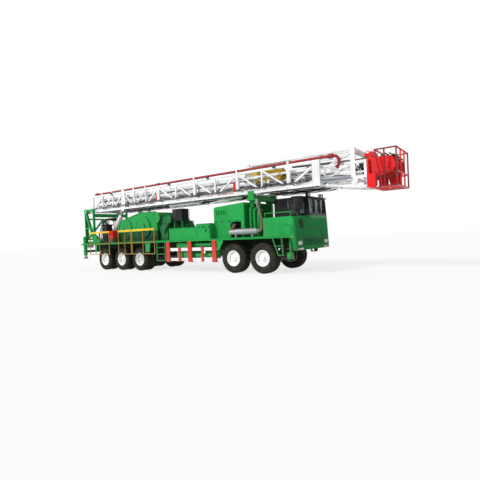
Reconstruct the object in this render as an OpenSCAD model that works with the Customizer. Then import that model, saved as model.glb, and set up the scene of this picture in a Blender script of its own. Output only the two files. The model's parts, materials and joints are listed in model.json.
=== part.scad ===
// Truck-mounted workover rig with a telescoping mast, stowed for the road.
// +X is forward, +Y is the vehicle's left and +Z is up. The ground is z = 0.
// Places along X are measured from the first axle, and place() centres the whole on the origin.

/* [Carrier] */
// Overall width over the deck and the front panel
body_w = 2780; // [2600:10:2900]
// Height of the deck's underside above the ground
deck_z = 1297; // [1280:1:1340]
// Depth of the deck's edge channel
deck_t = 80; // [60:1:100]
// Distance from the first axle forward to the front panel's top edge
front_x = 1424; // [1400:1:1500]
// How far the front panel's foot stands ahead of its top edge
front_rake = 50; // [20:1:70]
// Height of the front panel's lower edge
front_z0 = 840; // [800:5:900]
// Height of the front panel's top edge
front_z1 = 1978; // [1950:1:2000]
// Height of the chassis rails' underside
rail_z = 900; // [880:5:940]
// Height of the top of the right-hand front box
side_box_z = 2040; // [2000:5:2080]
// Thickness of the plates that hang and stand on the deck
plate_t = 12; // [8:1:20]

/* [Axles and wheels] */
// Distance between the two front axles
front_gap = 1335; // [1330:1:1400]
// Distance from the first axle back to the first rear axle
wheelbase = 6860; // [6700:10:7000]
// Distance between neighbouring rear axles
rear_gap = 1350; // [1300:5:1400]
// Diameter of a front tyre
front_tyre_d = 1150; // [1100:5:1180]
// Width of a front tyre
front_tyre_w = 445; // [385:5:450]
// Diameter of a rear tyre
rear_tyre_d = 1085; // [1060:5:1100]
// Width of one rear tyre
rear_tyre_w = 290; // [270:5:300]
// Gap between the two tyres of a rear twin
twin_gap = 40; // [30:1:50]
// Width over the outer faces of the tyres
track_w = 2600; // [2560:10:2640]
// Outer diameter of a rim
rim_d = 610; // [600:1:620]
// Distance from the centreline to a kingpin
kingpin_y = 790; // [770:5:800]

/* [Cab] */
// Width of the half-width cab
cab_w = 1540; // [1480:10:1580]
// Length of the cab's roof
cab_len = 1500; // [1400:10:1600]
// Height of the cab's roof above the ground
cab_top = 2800; // [2760:5:2840]
// Thickness of the cab's walls and door
cab_wall = 45; // [35:1:60]
// Height of the lower edge of the cab's windows
window_z0 = 2180; // [2100:5:2200]

/* [Machinery] */
// Height of the engine hood's top at its rear
hood_z = 2630; // [2500:5:2680]
// Length of the engine hood
hood_len = 1500; // [1400:10:1600]
// Height of the drawworks case
drawworks_z = 2850; // [2700:5:2900]
// Length of the drawworks case
drawworks_len = 2860; // [2700:10:3000]
// Width over the drawworks' side plates
drawworks_w = 1800; // [1700:10:1900]
// Diameter of the drawworks drum's flanges
drum_flange_d = 760; // [700:5:800]
// Diameter of the silencer
silencer_d = 230; // [200:5:260]

/* [Mast] */
// Height of the mast's pivot above the ground
pivot_z = 3100; // [3080:1:3120]
// Distance from the first axle back to the mast's pivot
pivot_back = 11350; // [11300:10:11400]
// Distance from the first axle back to the lower section's splice
splice_back = 5890; // [5700:10:6000]
// Distance from the first axle forward to the lower section's end
lower_end = 2180; // [2100:10:2250]
// Number of lattice bays behind the splice
tail_bays = 6; // [5:1:7]
// Number of lattice bays ahead of the splice
front_bays = 7; // [6:1:8]
// Width of the lower section
lower_w = 1700; // [1660:10:1740]
// Depth of the lower section
lower_h = 895; // [870:5:920]
// Width of the square tubes in the lower section
lower_chord = 90; // [80:1:100]
// Width of the upper section
upper_w = 1360; // [1300:10:1400]
// Depth of the upper section
upper_h = 570; // [550:5:600]
// Width of the square tubes in the upper section
upper_chord = 80; // [70:1:90]
// Distance from the first axle forward to the upper section's end when it is retracted
upper_end = 3720; // [3680:10:3800]
// Length of the upper section
upper_len = 14000; // [13600:50:14200]
// Number of lattice bays in the upper section
upper_bays = 14; // [12:1:16]
// Diameter of the standpipe
standpipe_d = 100; // [80:5:120]
// Length of the racking board
board_len = 4200; // [4000:50:4300]
// Width of the racking board
board_w = 1240; // [1160:10:1240]

/* [Crown] */
// Length of the crown's guard cage
cage_len = 880; // [800:10:900]
// Width of the crown's guard cage
cage_w = 1560; // [1500:10:1600]
// Height of the crown's guard cage
cage_h = 1200; // [1150:10:1250]
// Diameter of a crown sheave
sheave_d = 650; // [600:10:650]
// Thickness of a crown sheave
sheave_w = 60; // [50:1:70]

/* [Stand and jacks] */
// Length of the mast's stand along the carrier
stand_len = 800; // [760:10:820]
// Diameter of a levelling jack's housing
jack_d = 190; // [170:5:200]
// Height of a jack's foot above the ground on the road
jack_foot_z = 570; // [520:5:600]
// Outer diameter of a raising cylinder's barrel
lift_d = 230; // [220:1:240]
// Step in diameter from each stage of a raising cylinder to the next
lift_step = 35; // [30:1:36]

/* [Hidden] */
$fn = 48;

// Running and seating clearances
run_gap = 0.3;
slide_gap = 0.5;
swing_gap = 6;

// Places along X from the first axle
axle_x = [0, -front_gap, -wheelbase, -wheelbase - rear_gap, -wheelbase - 2 * rear_gap];
pivot_x = -pivot_back;
heel_x = pivot_x + 300;
splice_x = -splice_back;
stand_x0 = pivot_x - 130;
stand_x1 = stand_x0 + stand_len;
cab_x1 = front_x;
cab_x0 = cab_x1 - cab_len;
front_back = front_x - 60;
cage_x0 = upper_end + 80;
cage_x1 = cage_x0 + cage_len;
x_mid = (stand_x0 + cage_x1) / 2;

// Heights
deck_top = deck_z + deck_t;
lower_z0 = pivot_z - 65;
lower_z1 = lower_z0 + lower_h;
upper_z0 = lower_z0 + lower_chord + 30;
upper_z1 = upper_z0 + upper_h;
cage_z0 = upper_z0 - 375;
cage_z1 = cage_z0 + cage_h;

// Widths
half_w = body_w / 2;
lower_y = lower_w / 2;
upper_y = upper_w / 2;
cab_y1 = half_w;
cab_y0 = half_w - cab_w;
rail_y = 420;
rail_w = 80;
rail_h = deck_z - rail_z;
front_wheel_y = track_w / 2 - front_tyre_w / 2;
rear_outer_y = track_w / 2 - rear_tyre_w / 2;
rear_inner_y = rear_outer_y - rear_tyre_w - twin_gap;
front_r = front_tyre_d / 2;
rear_r = rear_tyre_d / 2;

// Puts a piece that is measured from the first axle into the part's own frame
module place() {
	translate([-x_mid, 0, 0]) children();
}

// A box given by its lowest and highest corners
module span(low, high) {
	translate(low) cube(high - low);
}

// A round bar along X, Y or Z
module bar_x(x0, x1, y, z, d) {
	translate([x0, y, z]) rotate([0, 90, 0]) cylinder(d = d, h = x1 - x0);
}

module bar_y(x, z, d, y0, y1) {
	translate([x, y1, z]) rotate([90, 0, 0]) cylinder(d = d, h = y1 - y0);
}

module bar_z(x, y, z0, z1, d) {
	translate([x, y, z0]) cylinder(d = d, h = z1 - z0);
}

// A flat outline in X and Z, extruded along Y from y0 to y1
module plate_y(y0, y1) {
	translate([0, y1, 0]) rotate([90, 0, 0]) linear_extrude(y1 - y0) children();
}

// A strut of square section in the XZ plane between two points, from y0 to y1
module strut(from, to, width, y0, y1) {
	length = norm(to - from);
	lean = atan2(to[1] - from[1], to[0] - from[0]);
	plate_y(y0, y1) translate(from) rotate(lean) translate([0, -width / 2]) square([length, width]);
}

// Draws the children and their mirror image on the vehicle's other side
module both_sides() {
	children();
	mirror([0, 1, 0]) children();
}

// Total length of the first n bays of a lattice
function reach(bays, n) = n == 0 ? 0 : bays[n - 1][0] + reach(bays, n - 1);

// A flat lattice in the XY plane: a rectangle with two triangles cut from each bay.
// Each bay is [length, lean]; a diagonal that falls forward has lean 1, one that rises has -1.
module lattice(bays, height, chord, web) {
	inner_h = height - 2 * chord;
	difference() {
		square([reach(bays, len(bays)), height]);
		for (i = [0 : len(bays) - 1]) {
			inner_w = bays[i][0] - web;
			diagonal = norm([inner_w, inner_h]);
			step_y = web / 2 * diagonal / inner_w;
			step_x = web / 2 * diagonal / inner_h;
			translate([reach(bays, i) + bays[i][0] / 2, height / 2])
				mirror([max(bays[i][1], 0), 0, 0])
					translate([-inner_w / 2, -inner_h / 2]) {
						polygon([[0, step_y], [0, inner_h], [inner_w - step_x, inner_h]]);
						polygon([[step_x, 0], [inner_w, 0], [inner_w, inner_h - step_y]]);
					}
		}
	}
}

// A strut drawn flat between two points
module bar_2d(from, to, width) {
	translate(from) rotate(atan2(to[1] - from[1], to[0] - from[0]))
		translate([0, -width / 2]) square([norm(to - from), width]);
}

// An upright lattice panel along X, from y to y + thick
module side_lattice(x0, y, z0, bays, height, chord, web, thick) {
	translate([x0, 0, z0]) plate_y(y, y + thick) lattice(bays, height, chord, web);
}

// Chassis

module rail_section() {
	flange_t = 14;
	difference() {
		square([rail_w, rail_h]);
		translate([-1, flange_t]) square([rail_w - flange_t + 1, rail_h - 2 * flange_t]);
	}
}

tow_y = 520;
tow_pin_r = 26;
tow_lug_r = 70;
tow_lug_t = 40;
tow_x = front_back - tow_lug_r - 5;
tow_z = front_z0 - 60;
cross_member_x = [-11200, -9000, -7550, -5600, -4300, -3000, -2200, -650, 750];
cross_member_w = 120;

// A lug with a bore along Y, hung below the bumper
module tow_lug() {
	difference() {
		union() {
			span([tow_x - tow_lug_r, tow_y, tow_z], [tow_x + tow_lug_r, tow_y + tow_lug_t, front_z0 + 21]);
			bar_y(tow_x, tow_z, 2 * tow_lug_r, tow_y, tow_y + tow_lug_t);
		}
		bar_y(tow_x, tow_z, 2 * tow_pin_r, tow_y - 1, tow_y + tow_lug_t + 1);
	}
}

module chassis() {
	color("darkgreen") place() {
		both_sides() translate([stand_x0 + 40, rail_y, rail_z]) rotate([90, 0, 90])
			linear_extrude(front_x - 240 - stand_x0) rail_section();
		for (x = cross_member_x)
			span([x, -rail_y - 70, rail_z + 60], [x + cross_member_w, rail_y + 70, rail_z + rail_h - 60]);
		// Bumper across the front
		span([front_x - 200, -half_w + 60, front_z0 + 20], [front_back, half_w - 60, rail_z + 160]);
		both_sides() tow_lug();
		// Hitch plate and crossbar at the rear
		span([stand_x0 + 40, -rail_y - 60, rail_z], [stand_x0 + 70, rail_y + 60, deck_z]);
		span([stand_x0 + 70, -half_w + 270, rail_z], [stand_x0 + 170, half_w - 270, rail_z + 120]);
	}
}

// Tapered brackets that hang from the deck's edge: top from and to, foot from and to, depth
bracket_table = [[-10270, -10090, -10240, -10150, 430], [-6340, -5990, -6310, -6050, 430],
	[-2070, -1750, -2040, -1970, 400]];
jack_y = half_w - 120;
jack_rear_x = pivot_x + 60;
jack_mid_x = -2230;
jack_mid_y = half_w - 260;
leg_d = jack_d - 50;

module deck() {
	edge_w = 90;
	color("green") place() {
		difference() {
			span([stand_x0, -half_w, deck_z], [front_back, half_w, deck_top]);
			// Underside between the edge channel and the rails
			both_sides() span([stand_x0 + 120, rail_y + rail_w + 60, deck_z - 1],
				[front_x - 180, half_w - edge_w, deck_top - 10]);
			// Hollow of the edge channel, open outwards
			both_sides() span([stand_x0 + 120, half_w - 20, deck_z + 14],
				[front_x - 180, half_w + 1, deck_top - 14]);
			// Room for the rear jacks' housings
			both_sides() bar_z(jack_rear_x, jack_y, deck_z - 1, deck_top + 1, jack_d);
		}
		both_sides() for (b = bracket_table)
			plate_y(half_w - 20 - plate_t, half_w - 20)
				polygon([[b[0], deck_z + 1], [b[2], deck_z - b[4]], [b[3], deck_z - b[4]],
					[b[1], deck_z - 60], [b[1], deck_z + 1]]);
	}
}

// Front panel with a shallow V pressed in it, leaning forward at its foot
face_lean = atan2(front_rake, front_z1 - front_z0);
lamp_z = 1095;
lamp_y = [1035, 1180];
lamp_d = 126;
marker_z = 890;
marker_h = 60;
marker_table = [[900, 1080], [1130, 1310]];
grille_w = 1600;
grille_z0 = 1000;
grille_z1 = 1250;

// Works in the plane of the panel's face: Y across, Z down from its top edge, X out of it
module on_face() {
	translate([front_x, 0, front_z1]) rotate([0, -face_lean, 0]) children();
}

// An outline in Y and Z sunk into the face by depth and standing out of it by out
module face_cut(depth, out = 60) {
	on_face() translate([-depth, 0, 0]) rotate([90, 0, 90]) linear_extrude(depth + out)
		translate([0, -front_z1]) children();
}

module frame_2d(low, high, width) {
	difference() {
		translate(low) square(high - low);
		translate(low + [width, width]) square(high - low - 2 * [width, width]);
	}
}

module front_panel() {
	crease_z = 1515;
	color("green") place() {
		difference() {
			union() {
				plate_y(-half_w, half_w)
					polygon([[front_back, front_z1], [front_x, front_z1], [front_x + front_rake, front_z0],
						[front_back, front_z0]]);
				// Raised border of the grille
				face_cut(10, 8) frame_2d([-grille_w / 2, grille_z0 - 25], [grille_w / 2, grille_z1 + 25], 25);
				// Cheeks below the deck
				both_sides() plate_y(half_w - plate_t, half_w)
					polygon([[front_back - 114, deck_z - 1], [front_back + 1, deck_z - 1],
						[front_back + 1, front_z0], [front_back - 10, front_z0]]);
			}
			// Pressed lines
			face_cut(6) {
				both_sides_2d() bar_2d([-8, crease_z], [half_w + 10, crease_z + 240], 12);
				bar_2d([-220, front_z1 + 5], [1270, 1197], 10);
				translate([-half_w - 10, 1345]) square([2 * half_w + 20, 14]);
				translate([-half_w - 10, 1388]) square([2 * half_w + 20, 14]);
			}
			// Louvres of the grille
			face_cut(40) for (i = [0 : 5])
				translate([-grille_w / 2 + 40, grille_z0 + 12 + i * 40]) square([grille_w - 80, 22]);
			// Lamp seats
			face_cut(45) both_sides_2d() {
				for (y = lamp_y) translate([y, lamp_z]) circle(d = lamp_d);
				for (m = marker_table) translate([m[0], marker_z - marker_h / 2]) square([m[1] - m[0], marker_h]);
			}
		}
	}
}

module both_sides_2d() {
	children();
	mirror([1, 0]) children();
}

module lamps() {
	lens_out = 14;
	color("lightgray") place() {
		face_cut(44, lens_out) both_sides_2d() {
			for (y = lamp_y) translate([y, lamp_z]) circle(d = lamp_d - 2 * run_gap);
			for (m = marker_table)
				translate([m[0] + run_gap, marker_z - marker_h / 2 + run_gap])
					square([m[1] - m[0] - 2 * run_gap, marker_h - 2 * run_gap]);
		}
		// Tail lamps below the deck
		both_sides() for (y = [700, 900])
			span([stand_x0 + 20, y, deck_z - 150], [stand_x0 + 80, y + 160, deck_z - run_gap]);
		// Work lamps on the cab's roof
		for (y = [cab_y0 + 120, cab_y1 - 320]) {
			span([cab_x1 - 190, y, cab_top + run_gap], [cab_x1 - 110, y + 200, cab_top + 130]);
		}
	}
}

// Cab

windscreen_n = 3;
pillar_w = 50;
pane_y0 = cab_y0 + 60;
pane_w = (cab_w - 120 - (windscreen_n - 1) * pillar_w) / windscreen_n;
window_z1 = cab_top - 80;
glass_t = 8;
floor_t = 30;

module cab_profile() {
	polygon([[cab_x0, deck_top], [front_back, deck_top], [front_back, front_z1], [cab_x1, front_z1],
		[cab_x1 - 50, cab_top - 90], [cab_x1 - 60, cab_top], [cab_x0, cab_top]]);
}

door_x0 = cab_x0 + 260;
door_x1 = cab_x1 - 200;
door_z0 = deck_top + 20;
door_z1 = cab_top - 60;
door_gap = 6;
side_window = [cab_x0 + 560, cab_x1 - 220];
door_window = [door_x0 + 90, door_x1 - 90];
rear_window = [cab_y0 + 250, cab_y1 - 250];

module pane_hole(i, depth, gap) {
	y = pane_y0 + i * (pane_w + pillar_w);
	span([cab_x1 - depth, y + gap, window_z0 + gap],
		[cab_x1 - depth + (gap > 0 ? glass_t : depth + 20), y + pane_w - gap, window_z1 - 20 - gap]);
}

module cab_shell() {
	color("green") place() {
		difference() {
			union() {
				plate_y(cab_y0, cab_y1) cab_profile();
				// Visor over the windscreen
				plate_y(cab_y0, cab_y1)
					polygon([[cab_x1 - 61, cab_top], [cab_x1 + 16, cab_top - 20], [cab_x1 + 16, cab_top - 44],
						[cab_x1 - 61, cab_top - 60]]);
				// Gutter along the roof's sides
				for (y = [cab_y0 - 8, cab_y1])
					span([cab_x0, y, cab_top - 50], [cab_x1 - 80, y + 8, cab_top - 36]);
			}
			span([cab_x0 + cab_wall, cab_y0 + cab_wall, deck_top + floor_t],
				[front_back - cab_wall, cab_y1 - cab_wall, cab_top - 50]);
			for (i = [0 : windscreen_n - 1])
				pane_hole(i, 120, 0);
			// Right side window
			span([side_window[0], cab_y0 - 1, window_z0], [side_window[1], cab_y0 + cab_wall + 1, window_z1]);
			// Rear window
			span([cab_x0 - 1, rear_window[0], window_z0], [cab_x0 + cab_wall + 1, rear_window[1], window_z1]);
			// Door opening
			span([door_x0 - door_gap, cab_y1 - cab_wall - 1, door_z0 - door_gap],
				[door_x1 + door_gap, cab_y1 + 9, door_z1 + door_gap]);
		}
		for (z = hinge_z) fixed_hinge(hinge_x, cab_y1, z);
	}
}

hinge_z = [1700, 2420];
hinge_h = 60;
hinge_d = 26;
hinge_pin = 12;
hinge_x = door_x1 + door_gap / 2;

// One leaf of a hinge on the face at y, towards the wall (side 1) or the door (side -1)
module hinge_leaf(x, y, z, side) {
	leaf_w = 44;
	leaf_t = 8;
	bar_z(x, y + hinge_d / 2 + 1, z, z + hinge_h, hinge_d);
	translate([side > 0 ? x + door_gap : x - door_gap - leaf_w, y, z]) cube([leaf_w, leaf_t, hinge_h]);
	translate([side > 0 ? x : x - door_gap, y + 2, z]) cube([door_gap, leaf_t - 2, hinge_h]);
}

// Fixed half of a hinge: a leaf above and below the moving one, with the pin
module fixed_hinge(x, y, z) {
	for (end = [-1, 1])
		hinge_leaf(x, y, z + end * (hinge_h + run_gap) - hinge_h / 2, 1);
	bar_z(x, y + hinge_d / 2 + 1, z - hinge_h, z + hinge_h, hinge_pin);
}

// Moving half of a hinge, bored for the pin
module moving_hinge(x, y, z) {
	difference() {
		hinge_leaf(x, y, z - hinge_h / 2, -1);
		bar_z(x, y + hinge_d / 2 + 1, z - hinge_h, z + hinge_h, hinge_pin + 2 * run_gap);
	}
}

module cab_glass() {
	fit = 0.2;
	color("lightblue") place() {
		for (i = [0 : windscreen_n - 1])
			pane_hole(i, 105, fit);
		span([side_window[0] + fit, cab_y0 + 15, window_z0 + fit],
			[side_window[1] - fit, cab_y0 + 15 + glass_t, window_z1 - fit]);
		span([cab_x0 + 15, rear_window[0] + fit, window_z0 + fit],
			[cab_x0 + 15 + glass_t, rear_window[1] - fit, window_z1 - fit]);
	}
}

module cab_seat() {
	seat_y = cab_y1 - 620;
	seat_x = cab_x0 + 220;
	seat_w = 500;
	floor_z = deck_top + floor_t;
	column_x = cab_x1 - 200;
	dash_x = front_back - cab_wall - run_gap;
	color("black") place() {
		span([seat_x, seat_y - 200, floor_z], [seat_x + 400, seat_y + 200, floor_z + 260]);
		span([seat_x, seat_y - seat_w / 2, floor_z + 230], [seat_x + 480, seat_y + seat_w / 2, floor_z + 350]);
		span([seat_x - 60, seat_y - 240, floor_z + 230], [seat_x + 60, seat_y + 240, floor_z + 970]);
		// Dashboard
		plate_y(cab_y0 + 60, cab_y1 - 60)
			polygon([[dash_x, floor_z + 360], [dash_x, floor_z + 680], [front_back - 160, floor_z + 680],
				[front_back - 250, floor_z + 560], [front_back - 220, floor_z + 360]]);
		// Steering column and wheel
		translate([column_x, seat_y, floor_z + 20]) rotate([0, -25, 0]) {
			cylinder(d = 60, h = 660);
			translate([0, 0, 640]) difference() {
				cylinder(d = 420, h = 30);
				translate([0, 0, -1]) difference() {
					cylinder(d = 360, h = 32);
					cylinder(d = 110, h = 32);
					for (a = [0, 120, 240])
						rotate([0, 0, a]) translate([0, -15, 0]) cube([200, 30, 32]);
				}
			}
		}
		span([column_x - 60, seat_y - 50, floor_z], [column_x + 60, seat_y + 50, floor_z + 60]);
	}
}

module cab_door() {
	color("green") place() {
		difference() {
			span([door_x0, cab_y1 - cab_wall, door_z0], [door_x1, cab_y1, door_z1]);
			span([door_window[0], cab_y1 - cab_wall - 1, window_z0], [door_window[1], cab_y1 + 1, window_z1 - 40]);
			// Pressed line below the window
			span([door_x0 - 1, cab_y1 - 5, 2000], [door_x1 + 1, cab_y1 + 1, 2012]);
		}
		for (z = hinge_z) moving_hinge(hinge_x, cab_y1, z);
		// Handle
		span([door_x0 + 60, cab_y1 - 1, 1880], [door_x0 + 90, cab_y1 + 30, 1900]);
		span([door_x0 + 200, cab_y1 - 1, 1880], [door_x0 + 230, cab_y1 + 30, 1900]);
		span([door_x0 + 60, cab_y1 + 18, 1880], [door_x0 + 230, cab_y1 + 30, 1900]);
	}
}

module door_glass() {
	fit = 0.2;
	color("lightblue") place()
		span([door_window[0] + fit, cab_y1 - 26, window_z0 + fit],
			[door_window[1] - fit, cab_y1 - 26 + glass_t, window_z1 - 40 - fit]);
}

// Boxes and machinery on the deck

side_box_x0 = 150;
side_box_y1 = cab_y0 - 12;
hatch_x = [900, 1340];
hatch_z = [1400, 1760];
hatch_t = 20;
hatch_depth = 480;
hatch_hinge_x = hatch_x[1] - 40;

module side_box() {
	color("green") place() {
		difference() {
			plate_y(-half_w, side_box_y1)
				polygon([[side_box_x0, deck_top], [front_back, deck_top], [front_back, side_box_z - 60],
					[front_back - 60, side_box_z], [side_box_x0 + 30, side_box_z], [side_box_x0, side_box_z - 30]]);
			// Store behind the hatch
			span([hatch_x[0], -half_w - 1, hatch_z[0]], [hatch_hinge_x, -half_w + hatch_depth, hatch_z[1]]);
			// Seams between the panels
			span([side_box_x0 - 1, -half_w - 1, 1800], [850, -half_w + 6, 1812]);
			for (x = [520, 850])
				span([x, -half_w - 1, deck_top - 1], [x + 10, -half_w + 6, side_box_z + 1]);
		}
		mirror([0, 1, 0]) for (z = hatch_hinge_z) fixed_hinge(hatch_hinge_x - door_gap / 2, half_w, z);
		// Handrail on the box's top
		for (x = [side_box_x0 + 60, front_back - 120])
			bar_z(x, -half_w + 60, side_box_z - 1, side_box_z + 160, 30);
		bar_x(side_box_x0 + 45, front_back - 105, -half_w + 60, side_box_z + 160, 30);
	}
}

hatch_hinge_z = [hatch_z[0] + 110, hatch_z[1] - 110];

// Hinged cover of the store in the right-hand box
module hatch() {
	color("green") place() {
		difference() {
			span([hatch_x[0] + door_gap, -half_w, hatch_z[0] + door_gap],
				[hatch_hinge_x - door_gap, -half_w + hatch_t, hatch_z[1] - door_gap]);
			plate_y(-half_w - 1, -half_w + 5) frame_2d([hatch_x[0] + 40, hatch_z[0] + 40],
				[hatch_hinge_x - 40, hatch_z[1] - 40], 12);
		}
		mirror([0, 1, 0]) for (z = hatch_hinge_z) moving_hinge(hatch_hinge_x - door_gap / 2, half_w, z);
	}
}

// Air cleaner, its pipe and the posts behind the right-hand box
module air_cleaner() {
	cleaner_y = cab_y0 - 250;
	cleaner_d = 400;
	cleaner_x = 1060;
	color("black") place() {
		bar_z(cleaner_x, cleaner_y, side_box_z + run_gap, side_box_z + 280, 120);
		bar_z(cleaner_x, cleaner_y, side_box_z + 279, side_box_z + 720, cleaner_d);
		bar_z(cleaner_x, cleaner_y, side_box_z + 719, side_box_z + 750, cleaner_d + 60);
		bar_z(cleaner_x - 330, cleaner_y, side_box_z + run_gap, side_box_z + 690, 70);
		bar_x(cleaner_x - 330, cleaner_x, cleaner_y, side_box_z + 600, 70);
	}
}

hood_x1 = -870;
hood_x0 = hood_x1 - hood_len;
hood_w = 2200;
hood_y = hood_w / 2;
hood_rise = 90;
hood_wall = 60;
hood_seam_z = 2000;
side_open_x = hood_x1 - 675;

module engine_hood() {
	radiator_t = 60;
	corner_r = 120;
	color("green") place() {
		difference() {
			plate_y(-hood_y, hood_y)
				polygon([[hood_x0, deck_top], [hood_x1, deck_top], [hood_x1, hood_z + hood_rise],
					[hood_x0 + 80, hood_z], [hood_x0, hood_z - 60]]);
			// Room for the engine
			span([hood_x0 + hood_wall, -hood_y + hood_wall, deck_top - 1],
				[hood_x1 - 140, hood_y - hood_wall, hood_z - 130]);
			// Open front, ahead of the radiator
			span([hood_x1 - 80, -hood_y + 90, deck_top + 120], [hood_x1 + 1, hood_y - 90, hood_z - 40]);
			// Sides open below the seam, ahead of the lower panel
			plate_y(-hood_y - 1, hood_y + 1) difference() {
				translate([side_open_x, deck_top - 1]) square([hood_x1 + 2 - side_open_x - 160, hood_seam_z - deck_top]);
				translate([side_open_x, hood_seam_z - 1 - corner_r]) difference() {
					square([corner_r, corner_r]);
					translate([corner_r, 0]) circle(r = corner_r);
				}
			}
			// Seams
			both_sides() for (z = [hood_seam_z + 30, hood_seam_z + 200])
				span([hood_x0 - 1, hood_y - 6, z], [hood_x1 + 1, hood_y + 1, z + 12]);
			both_sides() span([hood_x0 + 700, hood_y - 6, hood_seam_z + 200], [hood_x0 + 712, hood_y + 1, hood_z]);
			// Cooling slots in both sides
			for (i = [0 : 5])
				translate([hood_x0 + 130 + i * 90, -hood_y - 1, 2290]) cube([36, hood_w + 2, 180]);
			// Way through for the drive shaft
			bar_x(hood_x0 - 1, hood_x0 + hood_wall + 1, 0, shaft_z, shaft_d + 60);
		}
		// Fins of the radiator
		for (i = [0 : 24])
			span([hood_x1 - 141, -hood_y + 95 + i * 83, deck_top + 121],
				[hood_x1 - 60, -hood_y + 107 + i * 83, hood_z - 41]);
	}
}

shaft_z = 1900;
shaft_d = 140;

module engine_block() {
	color("gray") place()
		span([hood_x0 + 120, -450, deck_top], [hood_x1 - 180, 450, deck_top + 950]);
}

// Lockers: rear end, front end, top
locker_y = 760;
locker_table = [[-4700, -3112, 1880], [-3100, hood_x0 - swing_gap, 2000]];

module lockers() {
	lid_inset = 40;
	color("green") place() both_sides() for (k = locker_table) {
		difference() {
			span([k[0], -half_w, deck_top], [k[1], -locker_y, k[2]]);
			// Joint line round each panel of the side
			plate_y(-half_w - 1, -half_w + 6)
				frame_2d([k[0] + lid_inset, deck_top + lid_inset], [k[1] - lid_inset, k[2] - lid_inset], 10);
			if (k[2] > 1900)
				for (x = [k[0] + 180, k[0] + 480])
					bar_y(x, k[2] - 140, 70, -half_w - 1, -half_w + 30);
		}
		// Handle and drip edge
		bar_x((k[0] + k[1]) / 2 - 80, (k[0] + k[1]) / 2 + 80, -half_w - 6, k[2] - 200, 16);
		span([k[0] + 20, -half_w - 8, k[2] - 22], [k[1] - 20, -half_w + 1, k[2] - 10]);
	}
}

silencer_y = hood_y + 25 + silencer_d / 2;
silencer_z = 1590;
tail_pipe_d = 110;

module exhaust() {
	band_w = 50;
	tail_x = 0;
	tail_bend = 120;
	color("silver") place() translate([0, -silencer_y, 0]) {
		bar_x(-1440, -200, 0, silencer_z, silencer_d);
		// Domed ends
		translate([-202, 0, silencer_z]) rotate([0, 90, 0])
			cylinder(d1 = silencer_d - 8, d2 = tail_pipe_d, h = 62);
		translate([-1438, 0, silencer_z]) rotate([0, -90, 0])
			cylinder(d1 = silencer_d - 8, d2 = tail_pipe_d, h = 42);
		for (x = [-1200, -440]) {
			bar_x(x, x + band_w, 0, silencer_z, silencer_d + 12);
			span([x, -50, deck_top], [x + band_w, 50, silencer_z - silencer_d / 2 + 20]);
		}
		// Tail pipe: a bend up, then a lean to the rear, joined by collars
		bar_x(-145, tail_x - tail_bend + 10, 0, silencer_z, tail_pipe_d + 18);
		translate([tail_x - tail_bend, 0, silencer_z + tail_bend]) rotate([90, 0, 0])
			rotate([0, 0, -90]) rotate_extrude(angle = 90) translate([tail_bend, 0]) circle(d = tail_pipe_d);
		bar_z(tail_x, 0, silencer_z + tail_bend - 20, 2100, tail_pipe_d + 18);
		translate([tail_x, 0, 2060]) rotate([0, -15, 0]) cylinder(d = tail_pipe_d - 8, h = 725);
		// Inlet from the engine
		translate([-1450, 0, silencer_z + 20]) rotate([0, 40, 0]) cylinder(d = 90, h = 360);
	}
}

module mast_rest() {
	rest_x = -680;
	head_l = 340;
	post_y = [640, 730];
	color("green") place() {
		both_sides() {
			for (x = [rest_x - 125, rest_x + 150])
				span([x, post_y[0], deck_top], [x + 120, post_y[1], 2700]);
			span([rest_x - head_l / 2, post_y[0], 2699], [rest_x + head_l / 2 + 100, post_y[1], 2790]);
			// Brace from the foot of the front post to the middle of the beam
			strut_yz([post_y[0] - 5, 1700], [250, 2800], 70, rest_x - 20, rest_x + 50);
			// Foot plate
			span([rest_x - 180, post_y[0] - 60, deck_top], [rest_x + 330, post_y[1] + 60, deck_top + 25]);
			// Pads below the mast's chords
			span([rest_x - 130, 740, 2899], [rest_x + 130, lower_y + 10, lower_z0 - run_gap]);
			span([rest_x - 130, lower_y + 10, 2899], [rest_x + 130, lower_y + 40, lower_z0 + 110]);
		}
		span([rest_x - head_l / 2, -lower_y - 40, 2780], [rest_x + head_l / 2, lower_y + 40, 2900]);
		bar_y(rest_x, 2940, 110, -500, 500);
		both_sides() span([rest_x - 40, 500, 2899], [rest_x + 40, 530, 3000]);
	}
}

// A strut of square section in the YZ plane, from x0 to x1
module strut_yz(from, to, width, x0, x1) {
	translate([x0, 0, 0]) rotate([90, 0, 90]) linear_extrude(x1 - x0) bar_2d(from, to, width);
}

drawworks_x1 = -5960;
drawworks_x0 = drawworks_x1 - drawworks_len;
side_plate_t = 90;
drum_x = drawworks_x0 + 520;
drum_z = 2020;
drum_shaft_d = 160;
case_split_x = drawworks_x0 + 1330;

// Round covers on the case's outer faces: distance from its rear end, height, radius, stand-out
cover_table = [[520, 2020, 500, 50], [1870, 2030, 520, 70], [2810, 2440, 250, 40], [1870, 2030, 200, 110]];

module case_profile() {
	polygon([[drawworks_x0, deck_top], [drawworks_x0, 2260], [drawworks_x0 + 110, 2440],
		[drawworks_x0 + 1700, drawworks_z - 80], [drawworks_x1 - 160, drawworks_z - 90],
		[drawworks_x1, drawworks_z - 260], [drawworks_x1, deck_top]]);
}

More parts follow.
